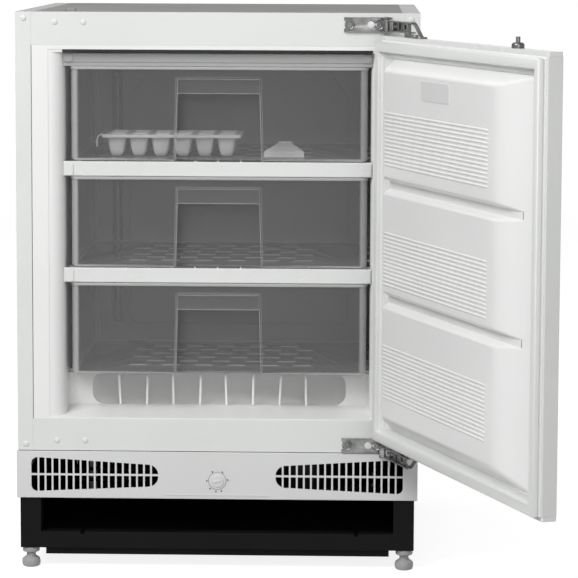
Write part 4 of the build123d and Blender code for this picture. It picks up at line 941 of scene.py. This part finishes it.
for left, right, low, high in ((-0.012, 0.012, 0.0, 0.001), (-0.004, 0.010, 0.001, 0.003)):
    loop = box_loop(clip_x + left, clip_y - 0.004, clip_x + right, clip_y + 0.004, 0.001)
    clip.append(slab(loop, clip_z + low, clip_z + high))
gathered("top_clip", clip, still, "cabinet", "hinge_steel")
# On the back wall a white tube in a black channel: the tube is a painted highlight for a lit edge there, the
# channel painted shade for the corner beside it.
highlight_tube = lathe([(0, 0.325), (0.0026, 0.326), (0.0026, 0.728), (0, 0.729)], 14, -0.1795, 0.0980)
corner_shade_backing = slab(box_loop(-0.1880, 0.1030, -0.1722, 0.1060, 0.001), 0.3230, 0.7310)
gathered("corner_tube", [highlight_tube], still, "cabinet", "wire_white")
gathered("corner_channel", [corner_shade_backing], still, "cabinet", "rubber_black")
print("ribs", rib_count)

# %% [markdown]
# ## Sides of the base
# Inside the plinth the photograph is solid black on the left too, so the base has side walls. They
# are sheets with folded edges that stand between the front and the rear posts.

# %% Base walls
base_low, base_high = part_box("base_frame")
wall_foot, sheet_thick, fold_wide = 0.0375, 0.0012, 0.0310
walls = []
for side in (-1, 1):
    outer = side * (base_high.x - 0.0022)
    for wide, inset, top in ((sheet_thick, 0.014, base_high.z - 0.002),
                             (fold_wide, 0.021, wall_foot + sheet_thick)):
        left, right = sorted((outer, outer - side * wide))
        walls.append(slab(corners(left, base_low.y + inset, right, base_high.y - inset), wall_foot, top))
gathered("base_side_walls", walls, still, "cabinet", "base_black")

# %% [markdown]
# ## Bent wires under the bottom drawer
# The bottom drawer stands on plastic-coated wires. Their front ends are bent down and stand on the
# sill, and they are the bright strokes below the drawer. A wire is a line with a thickness, so it
# is drawn as bare edges. A Geometry Nodes tree rounds every bend and sweeps a circle along it. The
# thickness and the bend are inputs of the tree.

# %% Wires


def wire_tree(finish):
    """Turns edges into round wire with soft bends."""
    tree, start, end = new_tree("round_wire", [("Radius", "NodeSocketFloat"), ("Bend", "NodeSocketFloat")])
    line = put(tree, "GeometryNodeMeshToCurve", Mesh=start.outputs["Geometry"])
    bend = put(tree, "GeometryNodeFilletCurve", mode="POLY", Count=5, Curve=line.outputs["Curve"],
               Radius=start.outputs["Bend"])
    section = put(tree, "GeometryNodeCurvePrimitiveCircle", Resolution=14, Radius=start.outputs["Radius"])
    sweep = put(tree, "GeometryNodeCurveToMesh", Fill_Caps=True, Curve=bend.outputs["Curve"],
                Profile_Curve=section.outputs["Curve"])
    close_tree(tree, end, sweep.outputs["Mesh"], finish)
    return tree


def wires(name, lines, tree, radius, bend):
    """Round wires along several lines of points."""
    points, edges = [], []
    for line in lines:
        first = len(points)
        points += line
        edges += [(first + i, first + i + 1) for i in range(len(line) - 1)]
    mesh = bpy.data.meshes.new(name)
    mesh.from_pydata(points, edges, [])
    made = grown(name, in_scene(name, mesh), tree, {"Radius": radius, "Bend": bend}, "cabinet", "wire_white", 60)
    print(name, len(lines), "wires, faces", len(made.data.polygons))
    return made


legs_low, legs_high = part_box("bottom_shelf_legs")
net_low, net_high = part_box("bottom_shelf_wires")
round_wire = wire_tree(finishes["wire_white"])
first_leg, leg_pitch, leg_top, cross_top = -0.14885, 0.0401, 0.2890, 0.2922
tilts = (-1.5, 1.0, -0.5, 1.5, -1.0, 0.5, 2.0, -0.5)
leg_lines = []
for i, tilt in enumerate(tilts):
    x = first_leg + leg_pitch * i
    top_x = x + tilt / 1000
    leg_lines.append([(x, -0.2140, legs_low.z + 0.0006), (top_x, -0.2220, legs_high.z - 0.004),
                      (top_x, -0.2214, leg_top), (top_x, -0.1900, leg_top),
                      (top_x, net_high.y - 0.0004, leg_top)])
leg_wires = wires("bottom_bent_wires", leg_lines, round_wire, 0.0019, 0.005)
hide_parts("bottom_shelf_legs", "bottom_shelf_wires")
near_cross, far_cross, cross_count = -0.207, 0.094, 4
cross_lines = []
for i in range(cross_count):
    y = near_cross + i * (far_cross - near_cross) / (cross_count - 1)
    cross_lines.append([(x, y, cross_top) for x in (net_low.x + 0.0003, 0.0, net_high.x - 0.0003)])
wires("bottom_cross_wires", cross_lines, round_wire, 0.0018, 0.001)

# %% [markdown]
# ## Scoop behind the wires
# Behind the bent wires the liner is drawn back into a shallow scoop with round ends. It is pale in
# the photograph, so it must slope up towards the light: here it is a curved sheet whose section is a
# quarter of an ellipse, pinched at both ends.

# %% Scoop
scoop_half, scoop_deep, scoop_low, scoop_high = 0.196, 0.040, legs_low.z - 0.0002, 0.2864
scoop_x, scoop_face, scoop_end, scoop_thick = 0.002, -0.2105, 0.024, 0.0012
scoop_columns, scoop_steps = 32, 8
scoop = bmesh.new()
rows = []
for i in range(scoop_columns + 1):
    x = -scoop_half + 2 * scoop_half * i / scoop_columns
    pinch = min(1.0, (scoop_half - abs(x)) / scoop_end)
    pinch = math.sqrt(max(0.0, 1 - (1 - pinch) ** 2))
    row = []
    for step in range(scoop_steps + 1):
        turn = math.pi / 2 * step / scoop_steps
        y = scoop_face + scoop_deep * math.sin(turn) * pinch
        z = scoop_low + (scoop_high - scoop_low) * (1 - math.cos(turn))
        row.append(scoop.verts.new((x + scoop_x, y, z)))
    rows.append(row)
banded(scoop, rows, around=False)
backed(scoop, (0, scoop_thick, 0))
gathered("recess_scoop", [scoop], still, "cabinet", "liner_white", 60)

# %% [markdown]
# ## Clear drawers
# Each drawer is one moulding: round at the foot and the corners, with a rim on top and a pocket in
# front that fingers reach into from below. The walls are rings of vertices that climb outside and
# come back down inside. The pocket is then joined and cut with booleans, as a die would press it.
# The floor is a sheet of its own, because it is frosted and has slots.
#
# A moulded corner looks pale in the light, and here that paleness is a painted highlight. Two
# attributes record where it goes: `pale`, the painted highlight on corners, foot and rim, and
# `frost` on the floor. The finish reads them, so they belong to the shape and not to the place that
# it is seen from.

# %% Drawers
drawer_face = front_y + 0.0105
drawer_half, drawer_deep, drawer_x = 0.220, 0.340, 0.002
drawer_mid_y = drawer_face + drawer_deep / 2
drawer_corner, drawer_foot, drawer_wall, foot_inset, floor_gap = 0.012, 0.005, 0.0022, 0.0075, 0.0068
grip_x, grip_half, grip_flare, grip_deep, grip_bar, grip_drop = 0.001, 0.061, 0.003, 0.018, 0.0215, 0.018
slot_rows, slot_pitch_x, slot_pitch_y, first_slot, slot_half_x, slot_half_y = 6, 0.050, 0.040, 0.082, 0.014, 0.0035
# Shares of painted highlight on the drawer's rounded corners, rim, foot and slot sides.
highlight_corner, highlight_rim, highlight_foot, highlight_slot = 0.48, 0.62, 0.7, 0.9


def drawer_ring(shape, grow, height):
    """Rounded rectangle of vertices, wider by grow, at a height."""
    half, deep = drawer_half + grow, drawer_deep / 2 + grow
    loop = box_loop(drawer_x - half, drawer_mid_y - deep, drawer_x + half, drawer_mid_y + deep,
                    max(drawer_corner + grow, 0.003), 7)
    return [shape.verts.new((x, y, height)) for x, y in loop]


def drawer_walls(low, high):
    """Closed ring of wall: out and up, over the rim, in and down."""
    turns = [math.radians(30 * step) for step in range(4)]
    bend = low + drawer_foot

    def foot_arc(radius, order):
        return [(-drawer_foot + radius * math.sin(t), bend - radius * math.cos(t)) for t in order]

    outline = [(-foot_inset, low)] + foot_arc(drawer_foot, turns)
    outline += [(0, bend + 0.0006), (0, high - 0.0050), (0, high - 0.004), (0.0015, high - 0.0038),
                (0.0015, high - 0.0004), (0.0011, high), (-drawer_wall + 0.0004, high),
                (-drawer_wall, high - 0.0004), (-drawer_wall, high - 0.0050), (-drawer_wall, bend + 0.0006)]
    outline += foot_arc(drawer_foot - drawer_wall, reversed(turns)) + [(-foot_inset, low + drawer_wall)]
    shape = bmesh.new()
    rings = [drawer_ring(shape, grow, height) for grow, height in outline]
    banded(shape, rings + rings[:1])
    return object_from("walls", shape)


def pocket_block(low, top, grow, near, far):
    """Block with the pocket's outline, from one depth to another behind the drawer's face."""
    half = grip_half + grow
    loop = [(grip_x - half - grip_flare, low), (grip_x + half + grip_flare, low), (grip_x + half, top + grow),
            (grip_x - half, top + grow)]
    return object_from("block", moved(slab(loop, -far, -near), facing_front((0, drawer_face, 0))))


def combine(base, tool, operation):
    """Changes the base by a boolean with the tool, which is used up."""
    step = base.modifiers.new("cut", "BOOLEAN")
    step.operation, step.object, step.solver = operation, tool, "EXACT"
    mesh = evaluated(base)
    base.modifiers.remove(step)
    base.data = mesh
    bpy.data.objects.remove(tool)


def drawer_floor(low):
    """Floor sheet with its slots, notched where the pocket stands."""
    left, right = drawer_x - drawer_half + floor_gap, drawer_x + drawer_half - floor_gap
    near, back = drawer_face + floor_gap, drawer_face + drawer_deep - floor_gap
    notch, notch_back = grip_half + grip_flare + drawer_wall, drawer_face + grip_deep + drawer_wall
    loops = [[(left, near), (grip_x - notch, near), (grip_x - notch, notch_back), (grip_x + notch, notch_back),
              (grip_x + notch, near), (right, near), (right, back), (left, back)]]
    for row in range(slot_rows):
        columns = 5 if row % 2 else 6
        for column in range(columns):
            x = (column - (columns - 1) / 2) * slot_pitch_x
            y = drawer_face + first_slot + slot_pitch_y * row
            loops.append(box_loop(x - slot_half_x, y - slot_half_y, x + slot_half_x, y + slot_half_y, 0.0034, 5))
    return lifted(cut_sheet(loops, drawer_wall, 0.0003), z=low)


def by_pocket(point, beside, behind):
    """Whether a point lies on the pocket, or at most so far beside it and behind the face."""
    across = abs(point.x - grip_x) < grip_half + grip_flare + beside
    return across and drawer_face + 0.0001 < point.y < drawer_face + behind


def highlight_share(point, low, high):
    """How much painted highlight a point of the wall gets: more in a rounded corner, at the rim and at the foot.
    """
    across = abs(point.x - drawer_x) - (drawer_half - drawer_corner)
    deep = abs(point.y - drawer_mid_y) - (drawer_deep / 2 - drawer_corner)
    share = 0.0
    if across > 0.0003 and deep > 0.0003:
        share = highlight_corner * min(1.0, 2.2 * min(across, deep) / drawer_corner + 0.35)
    if point.z > high - 0.0041:
        share = max(share, highlight_rim)
    if point.z < low + drawer_foot * 0.8 and not by_pocket(point, 0.0028, 0.0206):
        share = max(share, highlight_foot)
    return share


def on_pocket_edge(face):
    """Whether a face is a side, the top or the lower edge of the pocket, and not a flat behind it."""
    return by_pocket(face.center, 0.003, 0.0203) and abs(face.normal.y) < 0.2


def clear_drawer(name):
    """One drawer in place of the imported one."""
    low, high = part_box(name)[0].z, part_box(name)[1].z
    grip_top, grip_back = high - grip_drop, grip_deep + drawer_wall
    walls = drawer_walls(low, high)
    combine(walls, pocket_block(low + 0.0002, grip_top, drawer_wall, 0.0006, grip_back), "UNION")
    combine(walls, pocket_block(low - 0.002, grip_top, 0, drawer_wall, grip_deep), "DIFFERENCE")
    combine(walls, pocket_block(low - 0.002, grip_top - grip_bar, 0, -0.002, drawer_wall + 0.0006), "DIFFERENCE")
    shell = bmesh.new()
    shell.from_mesh(walls.data)
    bpy.data.objects.remove(walls)
    bmesh.ops.dissolve_degenerate(shell, edges=shell.edges, dist=1e-6)
    wall_verts = len(shell.verts)
    made = gathered(f"{name}_clear", [shell, drawer_floor(low)], still, f"{name}_body", "clear_smoke", 30)
    mesh = made.data
    # The attribute pale carries the painted highlight, frost the frosted floor.
    pale = mesh.attributes.new("pale", "FLOAT", "CORNER")
    frost = mesh.attributes.new("frost", "FLOAT", "CORNER")
    for face in mesh.polygons:
        pocket = on_pocket_edge(face)
        for corner, vert in zip(face.loop_indices, face.vertices):
            if vert >= wall_verts:
                frost.data[corner].value = 1.0
                pale.data[corner].value = highlight_slot if abs(face.normal.z) < 0.9 else 0.0
            else:
                frost.data[corner].value = 0.0
                pale.data[corner].value = 1.0 if pocket else highlight_share(mesh.vertices[vert].co, low, high)
    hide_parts(name)
    print(name, "faces", len(mesh.polygons))


for name in ("drawer_bottom", "drawer_middle", "drawer_top"):
    clear_drawer(name)

# %% [markdown]
# ## Ice tray and scraper
# The tray is blown from one sheet: twelve cups with round bottoms hang from a plate, and its left
# end bends down into a hook. One cup is modelled, and a Geometry Nodes tree sets it at twelve
# points. The scraper is a wedge: a low front edge that widens, and a ridged grip behind it.

# %% Ice tray


def nested_rings(half_x, half_y, corner, profile, closed):
    """Rounded rectangles that shrink by the first number of each step and lie at its second."""
    shape = bmesh.new()
    rings = []
    for shrink, height in profile:
        x, y = half_x - shrink, half_y - shrink
        loop = box_loop(-x, -y, x, y, max(corner - shrink / 2, 0.002), 5)
        rings.append([shape.verts.new((px, py, height)) for px, py in loop])
    banded(shape, rings + rings[:1] if closed else rings)
    if not closed:
        shape.faces.new(rings[0])
        shape.faces.new(rings[-1])
    return shape


tray_low, tray_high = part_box("ice_tray")
tray_top, tray_right, tray_long = tray_high.z, tray_high.x, 0.210
tray_left = tray_right - tray_long
tray_mid_x, tray_mid_y = (tray_left + tray_right) / 2, (tray_low.y + tray_high.y) / 2
cup_half, cup_deep, cup_wall, cup_corner, cup_pitch_x, cup_pitch_y = 0.0145, 0.0235, 0.0016, 0.006, 0.033, 0.052
cup_spots = [((column - 2.5) * cup_pitch_x, (row - 0.5) * cup_pitch_y) for row in range(2) for column in range(6)]
cup_height = tray_top - tray_low.z
outside = [(0, -0.0010), (0.0009, -0.0070), (0.0032, -0.0220), (0.0042, 0.0070 - cup_height),
           (0.0060, 0.0024 - cup_height), (0.0085, 0.0005 - cup_height), (0.0115, -cup_height)]
cavity = [(0.0115, cup_wall - cup_height), (0.0092, 0.0022 - cup_height), (0.0070, 0.0042 - cup_height),
          (0.0058, 0.0082 - cup_height), (0.0048, -0.0220), (0.0025, -0.0070), (cup_wall, -0.0001)]
bottom = [(0.0112, -cup_height), (0.0112, cup_wall - cup_height)]
cup = joined_shape([nested_rings(cup_half, cup_deep, cup_corner, outside + cavity, True),
                    nested_rings(cup_half, cup_deep, cup_corner, bottom, False)])
scattered("ice_tray_cups", cup, [(x, y, 0) for x, y in cup_spots],
          Matrix.Translation((tray_mid_x, tray_mid_y, tray_top)), "ice_tray_body", "tray_white", "ice_tray")
rim = box_loop(tray_left, tray_low.y, tray_right, tray_high.y, 0.006, 6)
hole_x, hole_y, lip = cup_half - cup_wall, cup_deep - cup_wall, 0.0016
holes = [box_loop(tray_mid_x + x - hole_x, tray_mid_y + y - hole_y, tray_mid_x + x + hole_x,
                  tray_mid_y + y + hole_y, 0.0045, 5) for x, y in cup_spots]
plate = lifted(cut_sheet([rim] + holes, 0.0018, 0.0004), z=tray_top - 0.0018)
inner_edge = box_loop(tray_left + lip, tray_low.y + lip, tray_right - lip, tray_high.y - lip, 0.0045, 6)
skirt = lifted(cut_sheet([rim, inner_edge], 0.0036, 0.0004), z=tray_top - 0.0046)
hook = round_loop(0, 0, 1, 7, 90, 90)
outer_hook = [(tray_left + 0.0088 * x, -0.0090 + 0.0090 * z) for x, z in hook] + [(tray_left - 0.0089, -0.0190)]
inner_hook = [(tray_left + 0.0070 * x, -0.0090 + 0.0072 * z) for x, z in hook] + [(tray_left - 0.0071, -0.0188)]
hook_loop = [(tray_left + 0.004, 0)] + outer_hook + list(reversed(inner_hook)) + [(tray_left + 0.004, -0.0018)]
hook_shape = moved(slab(hook_loop, -0.040, 0.040), facing_front((0, tray_mid_y, tray_top)))
gathered("ice_tray_plate", [plate, skirt, hook_shape], still, "ice_tray_body", "tray_white", 40)

# %% Ice scraper
scraper_low, scraper_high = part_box("ice_scraper")
scraper_x = (scraper_low.x + scraper_high.x) / 2
stations = [(0.0, 0.0300, 0.0085), (0.0030, 0.0300, 0.0098), (0.0380, 0.0135, 0.0180), (0.0420, 0.0120, 0.0186),
            (0.0740, 0.0120, 0.0186), (0.0780, 0.0105, 0.0170)]
wedge = bmesh.new()
ends = []
for back, half, height in stations:
    ring = [(-half, 0), (half, 0), (half, height - 0.0015), (half - 0.0015, height), (0.0015 - half, height),
            (-half, height - 0.0015)]
    ends.append([wedge.verts.new((scraper_x + x, scraper_low.y + back, scraper_low.z + z)) for x, z in ring])
banded(wedge, ends)
wedge.faces.new(ends[0])
wedge.faces.new(ends[-1])
ridges = []
for back in (0.046, 0.054, 0.062):
    near = scraper_low.y + back
    loop = box_loop(scraper_x - 0.0095, near, scraper_x + 0.0095, near + 0.0026, 0.001)
    ridges.append(slab(loop, scraper_low.z + 0.0180, scraper_high.z))
scraper = gathered("ice_scraper_wedge", [wedge] + ridges, still, "ice_scraper_body", "tray_white", 30)
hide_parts("ice_scraper")
print("cups", len(cup_spots), "scraper faces", len(scraper.data.polygons))

# %% [markdown]
# ## Floor, light and camera
# A product photograph like this one has a white floor that runs up into a white wall, and large soft
# lamps. The floor is diffuse, so it keeps the shadow, and rays from the camera get extra white.
# The camera stands four metres away with a long lens, a little to the right and above.

# %% Floor and backdrop


def white_ground(name, own, added):
    """Diffuse ground that shows nearly white to the camera, and in what mirrors or passes it."""
    made = bpy.data.materials.new(name)
    made.use_nodes = True
    tree = made.node_tree
    tree.nodes.clear()
    path = put(tree, "ShaderNodeLightPath")
    direct = greater(tree, path.outputs["Is Camera Ray"], path.outputs["Is Glossy Ray"])
    level = put(tree, "ShaderNodeMath", operation="MULTIPLY")
    level.inputs[1].default_value = added
    tree.links.new(greater(tree, direct, path.outputs["Is Transmission Ray"]), level.inputs[0])
    lit = put(tree, "ShaderNodeBsdfDiffuse", Color=(own, own, own, 1))
    glow = put(tree, "ShaderNodeEmission", Color=(1, 1, 1, 1), Strength=level.outputs[0])
    both = put(tree, "ShaderNodeAddShader")
    tree.links.new(lit.outputs[0], both.inputs[0])
    tree.links.new(glow.outputs[0], both.inputs[1])
    put(tree, "ShaderNodeOutputMaterial", Surface=both.outputs[0])
    return made


def ground_sweep():
    """Floor that curves up into a wall behind the object."""
    near, deep, wall, bend, half, steps = -9.0, 6.0, 5.0, 1.2, 9.0, 16
    side_view = [(near, 0.0), (deep - bend, 0.0)]
    for step in range(1, steps + 1):
        turn = math.radians(90 * step / steps)
        side_view.append((deep - bend + bend * math.sin(turn), bend - bend * math.cos(turn)))
    side_view.append((deep, wall))
    points = [(x, y, z) for y, z in side_view for x in (-half, half)]
    faces = [(2 * i, 2 * i + 1, 2 * i + 3, 2 * i + 2) for i in range(len(side_view) - 1)]
    mesh = bpy.data.meshes.new("ground")
    mesh.from_pydata(points, [], faces)
    mesh.shade_smooth()
    mesh.materials.append(white_ground("ground_white", 0.45, 0.85))
    return in_scene("ground", mesh)


ground_sweep()

# %% Lamps and world
world = bpy.data.worlds.new("studio")
world.use_nodes = True
feed(world.node_tree, world.node_tree.nodes["Background"], Color=(1, 1, 1, 1), Strength=0.29)
bpy.context.scene.world = world


def soft_lamp(name, place, aim, width, watts):
    """A square lamp that faces aim."""
    light = bpy.data.lights.new(name, "AREA")
    light.shape = "SQUARE"
    light.size = width
    light.energy = watts
    made = in_scene(name, light)
    made.location = place
    made.rotation_euler = (Vector(aim) - Vector(place)).to_track_quat("-Z", "Y").to_euler()


soft_lamp("lamp_key", (-1.4, -2.3, 2.7), (0, 0, 0.6), 1.7, 76)
soft_lamp("lamp_fill", (0.5, -3.6, 1.7), (0, -0.2, 0.5), 2.0, 32)
soft_lamp("lamp_top", (0, 0.4, 3.4), (0, 0, 0.5), 2.0, 8)

# %% Camera
sensor, focal_pixels, picture_pixels = 36.0, 2811, 578
camera_data = bpy.data.cameras.new("camera")
camera_data.sensor_width = sensor
camera_data.lens = sensor * focal_pixels / picture_pixels
camera_data.shift_y = -0.04
camera_data.clip_end = 60
camera = in_scene("camera", camera_data)
tilt, heading, roll = math.radians(6.67), math.radians(-1.50), math.radians(0.23)
camera.matrix_world = (
    Matrix.Translation((0.215, -4.409, 0.944))
    @ Matrix.Rotation(-heading, 4, "Z")
    @ Matrix.Rotation(math.pi / 2 - tilt, 4, "X")
    @ Matrix.Rotation(roll, 4, "Z")
)
bpy.context.scene.camera = camera
bpy.context.scene.view_settings.view_transform = "Standard"
